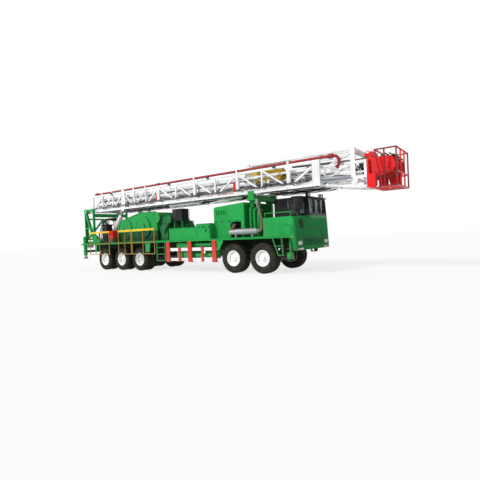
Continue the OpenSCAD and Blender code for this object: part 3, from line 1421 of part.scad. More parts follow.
module crown() {
	bar = 40;
	y1 = cage_w / 2;
	// Side of the guard cage: lower end and upper end of each post, along X
	post_table = [[crown_x + 480, crown_x + 270], [sheave_x - bar / 2, sheave_x - bar / 2],
		[cage_x1 - bar, cage_x1 - bar]];
	color("red") place() {
		difference() {
			span([crown_x, -upper_y, upper_z0 - 10], [crown_x + 60, upper_y, upper_z1]);
			span([crown_x - 1, -upper_y + 140, upper_z0 + 120], [crown_x + 61, upper_y - 140, upper_z1 - 110]);
		}
		both_sides() {
			for (p = post_table)
				plate_y(y1 - bar, y1)
					polygon([[p[0], cage_z0], [p[0] + bar, cage_z0], [p[1] + bar, cage_z1], [p[1], cage_z1]]);
			for (z = [cage_z0, upper_z0 + 45, cage_z1 - bar])
				span([crown_x + (z > cage_z1 - 100 ? 270 : z > cage_z0 ? 400 : 480), y1 - bar, z],
					[cage_x1, y1, z + bar]);
			// Floor plate's side, that hangs from the end frame
			plate_y(upper_y - 40, upper_y)
				polygon([[crown_x, upper_z0 + 85], [crown_x + 320, upper_z0 + 85], [crown_x + 320, cage_z0 + 60],
					[crown_x + 200, cage_z0], [crown_x, cage_z0 + 40]]);
		}
		// Bars across the cage's end
		for (z = [cage_z0, upper_z0 + 45, cage_z1 - bar])
			span([cage_x1 - bar, -y1, z], [cage_x1, y1, z + bar]);
		for (y = [-y1 + cage_w / 3, y1 - cage_w / 3 - bar])
			span([cage_x1 - bar, y, cage_z0], [cage_x1, y + bar, cage_z1]);
		span([crown_x + 270, -y1, cage_z1 - bar], [crown_x + 270 + bar, y1, cage_z1]);
		// Floor with its slots
		difference() {
			span([crown_x + 100, -y1, cage_z0], [cage_x1, y1, cage_z0 + 14]);
			for (i = [0 : 6])
				translate([crown_x + 180, -y1 + 100 + i * 200, cage_z0 - 1]) cube([cage_len - 180, 140, 16]);
		}
		span([crown_x + 100, -y1, cage_z0], [crown_x + 140, y1, cage_z0 + bar]);
		// Near side plate of the shaft, a keyhole shape
		plate_y(-shaft_end_y, -shaft_end_y + bar) {
			translate([crown_x + 1, sheave_z - 340]) square([300, 640]);
			translate([crown_x + 300, sheave_z]) polygon([[0, -340], [280, -270], [280, 270], [0, 300]]);
			translate([sheave_x, sheave_z]) circle(r = 270);
		}
		// Far side plate, a disc on a tapered foot
		plate_y(shaft_end_y - bar, shaft_end_y) {
			translate([crown_x + 1, sheave_z - 300]) square([sheave_x - crown_x, 420]);
			translate([sheave_x, sheave_z]) circle(r = 320);
			translate([sheave_x, cage_z0]) polygon([[-300, 700], [300, 700], [120, 0], [-120, 0]]);
		}
		bar_y(sheave_x, sheave_z, 120, -shaft_end_y, shaft_end_y);
		bar_y(sheave_x, sheave_z, 200, -shaft_end_y - 30, -shaft_end_y + 1);
		bar_y(sheave_x, sheave_z, 200, shaft_end_y - 1, shaft_end_y + 30);
		// Beam on top with its ring
		for (y = [-300, 220])
			span([crown_x, y, upper_z1 - 1], [crown_x + 80, y + 80, upper_z1 + 160]);
		span([crown_x - 20, -300, upper_z1 + 155], [crown_x + 100, 300, upper_z1 + 295]);
		span([crown_x - 250, -60, upper_z1 + 175], [crown_x - 19, 60, upper_z1 + 295]);
		translate([crown_x - 150, 0, upper_z1 + 340]) rotate([90, 0, 0])
			rotate_extrude() translate([50, 0]) circle(d = 26);
	}
}

module crown_sheaves() {
	color("dimgray") place()
		for (i = [0 : sheave_n - 1])
			translate([sheave_x, (i - (sheave_n - 1) / 2) * sheave_pitch, sheave_z]) rotate([90, 0, 0])
				rotate_extrude() difference() {
					translate([60 + run_gap, -sheave_w / 2]) square([sheave_d / 2 - 60 - run_gap, sheave_w]);
					// Rope groove, and the dish of both faces
					translate([sheave_d / 2 + 6, 0]) circle(r = sheave_w / 2 - 4);
					for (side = [-1, 1])
						translate([130, side * sheave_w / 2 - 14]) square([sheave_d / 2 - 190, 28]);
				}
}

// Standpipe along the mast's right-hand top chord, with a gooseneck at its front end
module standpipe() {
	neck_r = 220;
	neck_x = lower_end + 470;
	pipe_x0 = -10600;
	color("red") place() translate([0, -pipe_y, 0]) {
		bar_x(pipe_x0, neck_x - 40, 0, pipe_z, standpipe_d);
		// Couplings: the rear cap, the splice, and the collar of the gooseneck
		difference() {
			for (x = [[pipe_x0 - 170, 60], [splice_x - 90, 40], [neck_x - 160, 50]])
				bar_x(x[0], x[0] + 180, 0, pipe_z, standpipe_d + x[1]);
			span([pipe_x0 - 400, -200, lower_z1 - 300], [lower_end, 200, lower_z1 + run_gap]);
		}
		bar_x(pipe_x0 - 230, pipe_x0 - 165, 0, pipe_z, standpipe_d - 20);
		translate([neck_x, 0, pipe_z - neck_r]) rotate([90, 0, 0]) rotate([0, 0, -45])
			rotate_extrude(angle = 135) translate([neck_r, 0]) circle(d = standpipe_d);
		// Union at the gooseneck's end
		translate([neck_x + neck_r * cos(45), 0, pipe_z - neck_r - neck_r * sin(45)])
			rotate([0, 225, 0]) translate([0, 0, -12]) cylinder(d = standpipe_d + 40, h = 70);
	}
}

module travelling_block() {
	cheek_t = 50;
	y1 = block_w / 2;
	color("gold") place() {
		difference() {
			plate_y(-y1, y1) union() {
				translate([block_x - block_half + 20, block_z - block_r]) square([2 * block_half - 20, 2 * block_r]);
				translate([block_x + block_half, block_z]) circle(r = block_r);
				translate([block_x - block_half, block_z]) circle(r = block_r);
			}
			// Slots between the cheeks
			for (i = [0 : 2])
				span([block_x - block_half - block_r - 1, -y1 + cheek_t + i * 110, block_z - 60],
					[block_x + block_half + block_r + 1, -y1 + cheek_t + i * 110 + 78, block_z + block_r + 1]);
		}
		both_sides() {
			bar_y(block_x + block_half, block_z, 180, y1 - 1, y1 + 26);
			plate_y(y1 - 1, y1 + 14) bar_2d([block_x - block_half, block_z], [block_x + block_half, block_z], 150);
		}
		// Sheave edges inside the slots
		for (i = [0 : 2])
			bar_y(block_x + block_half - 60, block_z, 2 * block_r - 30,
				-y1 + cheek_t + i * 110 + 20, -y1 + cheek_t + i * 110 + 58);
	}
	// Hook at the block's rear end
	color("dimgray") place() {
		bar_x(block_x - block_half - block_r - 60, block_x - block_half, 0, block_z - 110, 110);
		translate([block_x - block_half - block_r - 130, 50, block_z - 110]) rotate([90, 0, 0]) difference() {
			cylinder(r = 100, h = 100);
			translate([-20, 0, -1]) cylinder(r = 45, h = 102);
		}
	}
}

// Racking board stowed flat over the mast: a frame with fingers along both sides and a walkway between
finger_n = 12;
finger_pitch = 120;
finger_t = 34;
walkway_w = 520;
walk_x0 = board_x0 + finger_n * finger_pitch + 170;

module racking_board() {
	rail = 70;
	ear_x = board_x0 + 46;
	x1 = board_x0 + board_len;
	color("yellow") place() {
		translate([0, 0, board_z]) linear_extrude(board_t) {
			for (y = [-board_y, board_y - rail])
				translate([ear_x, y]) square([x1 - ear_x, rail]);
			for (x = [ear_x, walk_x0, (walk_x0 + x1) / 2, x1 - rail])
				translate([x, -board_y]) square([rail, board_w]);
			for (y = [-walkway_w / 2, walkway_w / 2 - rail])
				translate([walk_x0, y]) square([x1 - walk_x0, rail]);
			// Fingers
			for (i = [0 : finger_n - 1])
				for (y = [-board_y, walkway_w / 2])
					translate([ear_x + 130 + i * finger_pitch, y]) square([finger_t, board_y - walkway_w / 2]);
		}
		both_sides() difference() {
			union() {
				bar_y(board_x0, board_z + board_t / 2, board_t, board_y - rail, board_y);
				span([board_x0, board_y - rail, board_z], [ear_x + 1, board_y, board_z + board_t]);
			}
			bar_y(board_x0, board_z + board_t / 2, board_pin_d + 2 * run_gap, board_y - rail - 1, board_y + 1);
		}
	}
}

// Raising cylinders: barrels on the deck, two stages, the last rod's eye beside the mast's lug

lift_y = 560;
lift_base = [pivot_x + 1450, deck_top + 243];
lift_eye = [pivot_x + 2450, lower_z0 - 90];
lift_len = norm(lift_eye - lift_base);
lift_tilt = atan2(lift_eye[0] - lift_base[0], lift_eye[1] - lift_base[1]);
lift_ds = [for (i = [0 : 3]) lift_d - i * lift_step];
lug_y = lift_ds[3] / 2 + 8;

module lift_axis() {
	place() both_sides() translate([lift_base[0], lift_y, lift_base[1]]) rotate([0, lift_tilt, 0]) children();
}

// One nested tube of the raising cylinders
module lift_tube(z0, z1, d, bore, floor_t) {
	difference() {
		translate([0, 0, z0]) cylinder(d = d, h = z1 - z0);
		translate([0, 0, z0 + floor_t]) cylinder(d = bore, h = z1 - z0);
	}
}

module lift_barrels() {
	color("white") lift_axis() difference() {
		union() {
			lift_tube(150, lift_len - 220, lift_ds[0], lift_ds[1] + 2 * run_gap, 60);
			cylinder(d = 90, h = 151);
			bar_y(0, 0, 150, -50, 50);
		}
		bar_y(0, 0, 60 + 2 * run_gap, -51, 51);
	}
}

module lift_stage_1() {
	color("silver") lift_axis() lift_tube(215, lift_len - 180, lift_ds[1], lift_ds[2] + 2 * run_gap, 30);
}

module lift_stage_2() {
	color("silver") lift_axis() lift_tube(250, lift_len - 140, lift_ds[2], lift_ds[3] + 2 * run_gap, 30);
}

module lift_rods() {
	color("silver") lift_axis() {
		bar_z(0, 0, 285, lift_len - 110, lift_ds[3]);
		bar_z(0, 0, lift_len - 111, lift_len, 80);
		bar_y(0, lift_len, 130, -60, 60);
	}
}

chassis();
deck();
front_panel();
cab_shell();
cab_glass();
cab_seat();
side_box();
hatch();
air_cleaner();
engine_hood();
engine_block();
lockers();
exhaust();
mast_rest();
drawworks_case();
gearbox();
mast_stand();
guard_posts();
guard_rails();
tanks();
ladders();
handrails();
front_axles();
rear_axles();
lamps();
cab_door();
door_glass();
drum();
knuckle_r1();
knuckle_l1();
knuckle_r2();
knuckle_l2();
wheel_r1();
wheel_l1();
wheel_r2();
wheel_l2();
wheel_r3();
wheel_l3();
wheel_r4();
wheel_l4();
wheel_r5();
wheel_l5();
jack_mid_r();
jack_mid_l();
jack_rear_r();
jack_rear_l();
mast_lower();
mast_upper();
mast_nose();
crown();
crown_sheaves();
standpipe();
travelling_block();
racking_board();
lift_barrels();
lift_stage_1();
lift_stage_2();
lift_rods();
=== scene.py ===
import json
import math

import bmesh
import bpy
from mathutils import Matrix, Vector


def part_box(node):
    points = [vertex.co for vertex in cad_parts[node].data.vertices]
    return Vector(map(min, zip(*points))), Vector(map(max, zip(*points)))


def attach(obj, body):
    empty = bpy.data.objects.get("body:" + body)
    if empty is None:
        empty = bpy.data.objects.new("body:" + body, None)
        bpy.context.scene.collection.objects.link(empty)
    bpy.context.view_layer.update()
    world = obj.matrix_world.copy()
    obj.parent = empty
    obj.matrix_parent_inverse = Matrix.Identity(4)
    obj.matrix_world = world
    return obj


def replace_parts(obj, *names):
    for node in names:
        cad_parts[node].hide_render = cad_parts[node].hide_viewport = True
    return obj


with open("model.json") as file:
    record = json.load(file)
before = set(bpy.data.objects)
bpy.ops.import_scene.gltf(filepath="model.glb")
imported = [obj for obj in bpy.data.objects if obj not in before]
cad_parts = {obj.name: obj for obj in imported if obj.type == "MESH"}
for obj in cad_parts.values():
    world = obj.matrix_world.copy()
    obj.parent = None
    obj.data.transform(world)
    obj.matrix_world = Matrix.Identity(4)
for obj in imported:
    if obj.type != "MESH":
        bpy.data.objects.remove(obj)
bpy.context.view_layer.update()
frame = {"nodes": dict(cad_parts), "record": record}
NODES = frame["nodes"]

# Places are in metres: X forward from the first axle, Y to the vehicle's left, Z up from the ground.
wheel_lo, wheel_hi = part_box("wheel_r1")
AXLE_1_X = (wheel_lo.x + wheel_hi.x) / 2
FRONT_R = (wheel_hi.z - wheel_lo.z) / 2
_, deck_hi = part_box("deck")
HALF_W = 1.39
DECK_TOP = deck_hi.z
DECK_UNDER = DECK_TOP - 0.08
FACE_TOP_X = 1.424


def box_of(node):
    """Lowest and highest corner of a CAD node, measured from the first axle."""
    low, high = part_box(node)
    shift = Vector((AXLE_1_X, 0, 0))
    return low - shift, high - shift


# Materials

RUST = (0.16, 0.055, 0.02)
DUST = (0.30, 0.25, 0.19)
GREEN = (0.008, 0.315, 0.06)
DARK_GREEN = (0.008, 0.16, 0.04)
# Green of the front faces, darker than GREEN: painted shade, as they face away from the key light
FRONT_SHADE_GREEN = (0.006, 0.185, 0.042)
SHADE_GREEN = (0.004, 0.075, 0.018)
WHITE = (0.84, 0.85, 0.86)
RED = (0.74, 0.010, 0.013)
DARK_RED = (0.22, 0.010, 0.015)
PIPE_RED = (0.30, 0.022, 0.024)
BLACK = (0.012, 0.012, 0.013)
YELLOW = (0.74, 0.48, 0.04)
# Darker yellow for the handrails below their top band: painted shade
RAIL_SHADE_YELLOW = (0.36, 0.24, 0.05)
STEEL = (0.42, 0.43, 0.44)


class Graph:
    """Short names for building a material's nodes."""

    def __init__(self, name):
        self.material = bpy.data.materials.new(name)
        self.material.use_nodes = True
        self.tree = self.material.node_tree
        self.shader = self.tree.nodes["Principled BSDF"]
        self.place = self.node("ShaderNodeTexCoord").outputs["Object"]

    def node(self, kind, **values):
        made = self.tree.nodes.new(kind)
        for key, value in values.items():
            setattr(made, key, value)
        return made

    def link(self, source, target):
        self.tree.links.new(source, target)

    def math(self, operation, a, b=0.0, clamp=False):
        made = self.node("ShaderNodeMath", operation=operation, use_clamp=clamp)
        for socket, value in zip(made.inputs, (a, b)):
            if isinstance(value, (int, float)):
                socket.default_value = value
            else:
                self.link(value, socket)
        return made.outputs[0]

    def noise(self, scale, detail, stretch=(1, 1, 1)):
        mapping = self.node("ShaderNodeMapping")
        mapping.inputs["Scale"].default_value = stretch
        self.link(self.place, mapping.inputs["Vector"])
        made = self.node("ShaderNodeTexNoise")
        made.inputs["Scale"].default_value = scale
        made.inputs["Detail"].default_value = detail
        self.link(mapping.outputs[0], made.inputs["Vector"])
        return made.outputs["Fac"]

    def ramp(self, value, low, high, to_low=0.0, to_high=1.0):
        made = self.node("ShaderNodeMapRange")
        for socket, number in zip(made.inputs[1:5], (low, high, to_low, to_high)):
            socket.default_value = number
        self.link(value, made.inputs[0])
        return made.outputs[0]

    def mix(self, factor, a, b):
        made = self.node("ShaderNodeMix", data_type="RGBA")
        self.link(factor, made.inputs["Factor"])
        for socket, value in ((made.inputs[6], a), (made.inputs[7], b)):
            if isinstance(value, tuple):
                socket.default_value = (*value, 1)
            else:
                self.link(value, socket)
        return made.outputs[2]

    def drift(self, colour, scale):
        """The colour with a slow drift of tone."""
        return self.mix(self.ramp(self.noise(scale, 4), 0.3, 0.7), tone(colour, 0.84), tone(colour, 1.1))

    def axes(self, vector=None):
        made = self.node("ShaderNodeSeparateXYZ")
        self.link(vector or self.place, made.inputs[0])
        return made.outputs

    def inside(self, low, high, mirrored):
        """1 within a box measured from the first axle, else 0; mirrored takes in its image across Y."""
        shift = Vector((AXLE_1_X, 0, 0))
        low, high = Vector(low) + shift, Vector(high) + shift
        place = self.place
        if mirrored:
            x, y, z = self.axes()
            join = self.node("ShaderNodeCombineXYZ")
            for socket, source in zip(join.inputs, (x, self.math("ABSOLUTE", y), z)):
                self.link(source, socket)
            place = join.outputs[0]
        mid, half = (low + high) / 2, (high - low) / 2
        for operation, operand in (("SUBTRACT", mid), ("ABSOLUTE", None), ("SUBTRACT", half)):
            step = self.node("ShaderNodeVectorMath", operation=operation)
            self.link(place, step.inputs[0])
            if operand is not None:
                step.inputs[1].default_value = operand
            place = step.outputs[0]
        x, y, z = self.axes(place)
        return self.math("LESS_THAN", self.math("MAXIMUM", self.math("MAXIMUM", x, y), z), 0.0)

    def bump(self, height, strength, distance):
        made = self.node("ShaderNodeBump")
        made.inputs["Strength"].default_value = strength
        made.inputs["Distance"].default_value = distance
        self.link(height, made.inputs["Height"])
        self.link(made.outputs[0], self.shader.inputs["Normal"])


def tone(colour, factor):
    return tuple(min(1.0, c * factor) for c in colour)


BAR_PITCH = 90.0


def painted(name, colour, rough=0.36, metal=0.0, grime=0.45, rust=0.25, zones=(), bump=0.12, grain=90.0,
            chequer=False, gloss=0.2):
    """Paint or metal with drifting tone, streaks, dirt towards the ground, chips and a faint orange peel.

    zones are (colour, low corner, high corner, mirrored): boxes where the surface has another colour.
    """
    g = Graph(name)
    base = g.drift(colour, 0.8)
    for other, low, high, mirrored in zones:
        base = g.mix(g.inside(low, high, mirrored), base, g.drift(other, 1.4))
    # Streaks that run down, and dust that thickens towards the ground
    streak = g.ramp(g.noise(2.2, 5, stretch=(3, 3, 0.35)), 0.52, 0.78, 0.0, 0.5 * grime)
    base = g.mix(streak, base, tone(DUST, 0.55))
    low_down = g.ramp(g.axes()[2], 0.35, 1.35, 1.0, 0.0)
    dirt = g.math("MULTIPLY", low_down, g.ramp(g.noise(3.5, 6), 0.32, 0.72, 0.1, 1.0), clamp=True)
    base = g.mix(g.math("MULTIPLY", dirt, 0.75 * grime), base, DUST)
    # Chips down to rusty steel
    chips = g.math("MULTIPLY", g.ramp(g.noise(7, 2), 0.5, 0.66), g.ramp(g.noise(55, 3), 0.6, 0.66))
    base = g.mix(g.math("MULTIPLY", chips, rust), base, RUST)
    g.link(base, g.shader.inputs["Base Color"])
    worn = g.ramp(g.noise(4.5, 5), 0.25, 0.75, max(0.05, rough - 0.08), rough + 0.16)
    g.link(worn, g.shader.inputs["Roughness"])
    g.shader.inputs["Metallic"].default_value = metal
    g.shader.inputs["Specular IOR Level"].default_value = gloss
    height = g.math("ADD", g.noise(grain, 2), g.math("MULTIPLY", g.noise(9, 2), 1.5))
    if chequer:
        # Raised bars of chequer plate, in two directions, on top of the deck
        x, y, _ = g.axes()
        waves = [g.math("SINE", g.math("MULTIPLY", g.math(way, x, y), BAR_PITCH))
                 for way in ("ADD", "SUBTRACT")]
        bars = g.math("MULTIPLY", *waves)
        height = g.math("ADD", height, g.math("MULTIPLY", g.ramp(bars, 0.35, 0.6), 4.0))
    g.bump(height, bump, 0.004)
    return g.material


def rubber(name):
    g = Graph(name)
    dust = g.math("MULTIPLY", g.ramp(g.noise(6, 6), 0.35, 0.8), g.ramp(g.noise(1.7, 2), 0.2, 0.8, 0.2, 0.55))
    base = g.mix(g.ramp(g.noise(25, 3), 0.3, 0.7), (0.009, 0.009, 0.007), (0.020, 0.019, 0.014))
    g.link(g.mix(dust, base, (0.095, 0.088, 0.055)), g.shader.inputs["Base Color"])
    g.link(g.ramp(g.noise(12, 4), 0.3, 0.7, 0.62, 0.85), g.shader.inputs["Roughness"])
    g.shader.inputs["Specular IOR Level"].default_value = 0.15
    g.bump(g.noise(140, 3), 0.35, 0.002)
    return g.material


def clear_glass(name, colour, see_through):
    g = Graph(name)
    tint = g.mix(g.ramp(g.noise(2.0, 3), 0.3, 0.7), tone(colour, 0.9), colour)
    g.link(tint, g.shader.inputs["Base Color"])
    g.link(g.ramp(g.noise(5.0, 4), 0.4, 0.8, 0.03, 0.15), g.shader.inputs["Roughness"])
    g.shader.inputs["Transmission Weight"].default_value = see_through
    g.shader.inputs["IOR"].default_value = 1.45
    g.bump(g.noise(1.5, 1), 0.05, 0.002)
    return g.material


def lens(name, colour):
    """Ribbed lamp glass."""
    g = Graph(name)
    ribs = g.math("SINE", g.math("MULTIPLY", g.axes()[1], 700.0))
    g.link(g.mix(g.ramp(ribs, -1, 1), tone(colour, 0.7), colour), g.shader.inputs["Base Color"])
    g.shader.inputs["Roughness"].default_value = 0.12
    g.shader.inputs["Coat Weight"].default_value = 0.8
    g.bump(ribs, 0.4, 0.003)
    return g.material


hood_lo, _ = box_of("engine_hood")
cab_lo, cab_hi = box_of("cab_shell")
block_lo, _ = box_of("travelling_block")

# Zones, where one node holds two colours: the guides in the mast, the handrails' top band painted lit
# over rails painted in shade, the hook, the silencer's rusty ends, the cab's black top and its front in
# painted shade, the tool box by the stand, a black box of painted shade on the gearbox, painted shade on
# the foot of the drawworks case, and the crown's side plates and cage
GUIDE_ENDS_X = (-1.374, -5.945)
# Height above which the handrails take the bright yellow, painted as lit
RAIL_LIT_Z = 1.862
CAB_BLACK_Z = 2.09
CASE_FOOT_Z = 1.86
guide_zones = [(RED, (x - 1.72, 0.68, 3.04), (x + 0.01, 0.764, 3.58), True) for x in GUIDE_ENDS_X]
MAST_WHITE = painted("mast_white", WHITE, rough=0.38, grime=0.55, rust=0.5, zones=guide_zones)
BODY_GREEN = painted("body_green", GREEN)
DARK_FRAME = painted("frame_green", DARK_GREEN, rough=0.45, grime=0.7)
CAB_BLACK = painted("cab_black", BLACK, rough=0.3, grime=0.2)
BRIGHT_RED = painted("crown_red", RED, rough=0.34)
RUBBER = rubber("tyre")
DARK_STEEL = painted("dark_steel", (0.06, 0.06, 0.062), rough=0.5, metal=0.6, rust=0.5)
BARE_STEEL = painted("steel", STEEL, rough=0.28, metal=0.9, grime=0.3, rust=0.3)
ROPE_STEEL = painted("rope_steel", (0.13, 0.13, 0.13), rough=0.5, metal=0.7, grain=260.0, bump=0.5)
HOSE_BLACK = painted("hose_black", (0.016, 0.016, 0.017), rough=0.55, grime=0.3, rust=0.0, grain=160.0)
RIM_WHITE = painted("rim_white", (0.9, 0.9, 0.9), rough=0.35, grime=0.2, rust=0.4)
SLOT_MATERIALS = {
    "body_green": BODY_GREEN, "frame_green": DARK_FRAME, "mast_white": MAST_WHITE, "crown_red": BRIGHT_RED,
    "guard_red": painted("guard_red", (0.58, 0.03, 0.02)),
    "guard_white": painted("guard_white", WHITE, grime=0.5),
    # Handrails: darker yellow below the top band as painted shade, bright yellow above it as painted light
    "rail_yellow": painted("rail_yellow", RAIL_SHADE_YELLOW, rough=0.45, rust=0.8, zones=[
        ((0.80, 0.52, 0.03), (-12, -2, RAIL_LIT_Z), (0, 2, 2), False)]),
    "block_yellow": painted("block_yellow", YELLOW, grime=0.6, rust=0.7, zones=[
        ((0.05, 0.05, 0.05), (block_lo.x - 1, -1, 3), (block_lo.x + 0.235, 1, 4), False)]),
    "axle_black": painted("axle_black", (0.018, 0.018, 0.018), rough=0.55, grime=0.9),
    "tyre": RUBBER, "steel": BARE_STEEL,
    "glass": clear_glass("glass", (0.30, 0.36, 0.36), 0.92),
    "seat_black": painted("seat_black", (0.02, 0.02, 0.021), rough=0.6, grime=0.1, rust=0.0,
                          bump=0.4, grain=220.0),
    "silencer": painted("silencer", (0.30, 0.32, 0.34), rough=0.42, metal=0.35, grime=0.5, zones=[
        ((0.19, 0.14, 0.11), (-0.135, -2, 1.4), (0.2, 0, 3), False),
        ((0.19, 0.12, 0.08), (-1.7, -2, 1.66), (-1.2, 0, 3), False)]),
    "engine_grey": painted("engine_grey", (0.12, 0.13, 0.12), rough=0.5, grime=0.8),
    "ladder_grey": painted("ladder_grey", DARK_GREEN, rough=0.5, rust=0.6),
    "lamp": lens("lamp", (0.78, 0.78, 0.74)),
    "sheave_grey": painted("sheave_grey", (0.09, 0.09, 0.095), rough=0.45, metal=0.6),
    "lift_white": painted("lift_white", WHITE, rough=0.35, grime=0.5),
}
NODE_MATERIALS = {
    "cab_shell": painted("cab_paint", GREEN, zones=[
        (BLACK, (cab_lo.x - 0.1, -2, CAB_BLACK_Z), (cab_hi.x + 0.1, 2, 3), False),
        # The cab's front below its black top, in the darker front green: painted shade
        (FRONT_SHADE_GREEN, (cab_hi.x - 0.15, -2, 1), (cab_hi.x + 0.1, 2, CAB_BLACK_Z), False)]),
    "cab_door": painted("door_paint", GREEN, zones=[
        (BLACK, (cab_lo.x - 0.1, -2, CAB_BLACK_Z), (cab_hi.x + 0.1, 2, 3), False)]),
    "deck": painted("deck_plate", GREEN, chequer=True, bump=0.25),
    "mast_stand": painted("stand_paint", GREEN, zones=[
        (RED, (-9.17, -1.28, 1.62), (-8.84, -0.97, 1.98), False),
        ((0.16, 0.07, 0.035), (-9.17, -1.28, 1.38), (-8.84, -0.97, 1.62), False)]),
    # The gearbox, with a black box of painted shade where its machinery lies in shadow
    "gearbox": painted("gearbox_paint_and_shade", DARK_GREEN, rough=0.45, grime=0.7, zones=[
        (BLACK, (-5.152, -0.705, 2.24), (-4.49, -0.235, 2.79), False)]),
    "drawworks_case": painted("case_paint", GREEN, zones=[
        (SHADE_GREEN, (-12, -2, 1), (0, 2, CASE_FOOT_Z), False)]),
    "standpipe": painted("pipe_red", PIPE_RED, rough=0.4),
    # The front panel in the darker front green: painted shade
    "front_panel": painted("front_panel_shade_paint", FRONT_SHADE_GREEN, rough=0.5, grime=0.1, rust=0.15, gloss=0.05),
    # The chassis nearly black: painted shade, for the shadow under the deck
    "chassis": painted("chassis_shade_paint", (0.003, 0.022, 0.008), rough=0.55, grime=0.5, gloss=0.1),
    "crown": painted("crown_paint", RED, rough=0.34, zones=[
        (DARK_RED, (3.985, 0.60, 2.5), (6, 1, 4.5), True), (DARK_RED, (4.86, -1, 2.5), (6, 1, 4.5), False)]),
    "crown_sheaves": painted("sheave_red", (0.6, 0.012, 0.014), rough=0.4),
}
node_slots = {part["node"]: part["material_slot"] for part in frame["record"]["subparts"]}
for node_name, node in NODES.items():
    material = NODE_MATERIALS.get(node_name) or SLOT_MATERIALS[node_slots[node_name]]
    node.data.materials.clear()
    node.data.materials.append(material)


# Mesh building

BOX_FACES = [(0, 1, 3, 2), (4, 6, 7, 5), (0, 4, 5, 1), (2, 3, 7, 6), (0, 2, 6, 4), (1, 5, 7, 3)]


def circle(x, z, radius, count, first=0.0):
    """Points spaced evenly round a centre, as (x, z)."""
    turns = [2 * math.pi * (k + first) / count for k in range(count)]
    return [(x + radius * math.cos(t), z + radius * math.sin(t)) for t in turns]


def spokes(axis, side, count):
    """Unit vectors round an axis, from `side` on."""
    other = axis.cross(side)
    turns = [2 * math.pi * k / count for k in range(count)]
    return [math.cos(t) * side + math.sin(t) * other for t in turns]


class Shape:
    """Collects solids and turns them into one piece that rides on a body."""

    def __init__(self):
        self.mesh = bmesh.new()

    def eight_corners(self, points):
        """Six faces over eight corners, in the order of BOX_FACES."""
        made = [self.mesh.verts.new(p) for p in points]
        for face in BOX_FACES:
            self.mesh.faces.new([made[i] for i in face])

    def box(self, low, high):
        (x0, y0, z0), (x1, y1, z1) = low, high
        self.eight_corners([(x, y, z) for x in (x0, x1) for y in (y0, y1) for z in (z0, z1)])

    def strip(self, a, b):
        """Faces between two closed rings of points."""
        for i in range(len(a)):
            j = (i + 1) % len(a)
            self.mesh.faces.new((a[i], a[j], b[j], b[i]))

    def loft(self, rings):
        """A closed skin through rings of points, with the same number of points in each."""
        made = [[self.mesh.verts.new(p) for p in ring] for ring in rings]
        for a, b in zip(made, made[1:]):
            self.strip(a, b)
        self.mesh.faces.new(reversed(made[0]))
        self.mesh.faces.new(made[-1])

    def tube(self, path, radius, sides):
        """A round tube along a path; its corners are mitred."""
        path = [Vector(p) for p in path]
        side = None
        rings = []
        for i, point in enumerate(path):
            before = (point - path[i - 1]).normalized() if i else None
            after = (path[i + 1] - point).normalized() if i + 1 < len(path) else None
            along = ((before or after) + (after or before)).normalized()
            if side is None:
                side = along.orthogonal().normalized()
            side = (side - along * side.dot(along)).normalized()
            rings.append([point + radius * spoke for spoke in spokes(along, side, sides)])
        self.loft(rings)

    def lathe(self, centre, axis, profile, sides):
        """A solid of revolution: profile is (distance along the axis, radius) from end to end."""
        centre, axis = Vector(centre), Vector(axis).normalized()
        around = spokes(axis, axis.orthogonal().normalized(), sides)
        self.loft([[centre + along * axis + max(radius, 1e-4) * spoke for spoke in around]
                   for along, radius in profile])

    def ring(self, centre, axis, profile, sides):
        """A closed ring of revolution: profile is a closed outline of (distance along the axis, radius)."""
        centre, axis = Vector(centre), Vector(axis).normalized()
        made = [[self.mesh.verts.new(centre + along * axis + radius * spoke) for along, radius in profile]
                for spoke in spokes(axis, axis.orthogonal().normalized(), sides)]
        for a, b in zip(made, made[1:] + made[:1]):
            self.strip(a, b)

    def bolt(self, place, axis, radius, height=0.010):
        """A hexagon head on its washer."""
        self.lathe(place, axis, [(-0.002, radius * 1.45), (0.003, radius * 1.45), (0.003, radius * 1.4)], 16)
        self.lathe(place, axis, [(0.002, radius), (height * 0.8, radius), (height, radius * 0.86)], 6)

    def piece(self, name, body, material, slot, bevel=0.0, smooth=40):
        """Finishes the mesh, moves it to the part's frame and lets it ride on the body."""
        bmesh.ops.recalc_face_normals(self.mesh, faces=self.mesh.faces)
        bmesh.ops.translate(self.mesh, vec=(AXLE_1_X, 0, 0), verts=self.mesh.verts)
        data = bpy.data.meshes.new(name)
        self.mesh.to_mesh(data)
        self.mesh.free()
        data.materials.append(material)
        made = bpy.data.objects.new(name, data)
        bpy.context.scene.collection.objects.link(made)
        if bevel:
            edges = made.modifiers.new("edges", "BEVEL")
            edges.width = bevel
            edges.segments = 2
            edges.limit_method = "ANGLE"
        data.shade_smooth()
        data.set_sharp_from_angle(angle=math.radians(smooth))
        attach(made, body)
        return made


# Tyres with their tread, and rims with discs, nuts and hubs

RIM_R = 0.305
TREAD_DEPTH = 0.016
SHOULDER = 0.075
TYRE_SIDES = 72
WHEEL_NUTS, NUT_CIRCLE_R = 10, 0.1335
TWIN_TYRE_W = 0.29
TWIN_OUTER_Y, TWIN_INNER_Y = 1.155, 0.825
FRONT_PITCHES, REAR_PITCHES = 46, 44


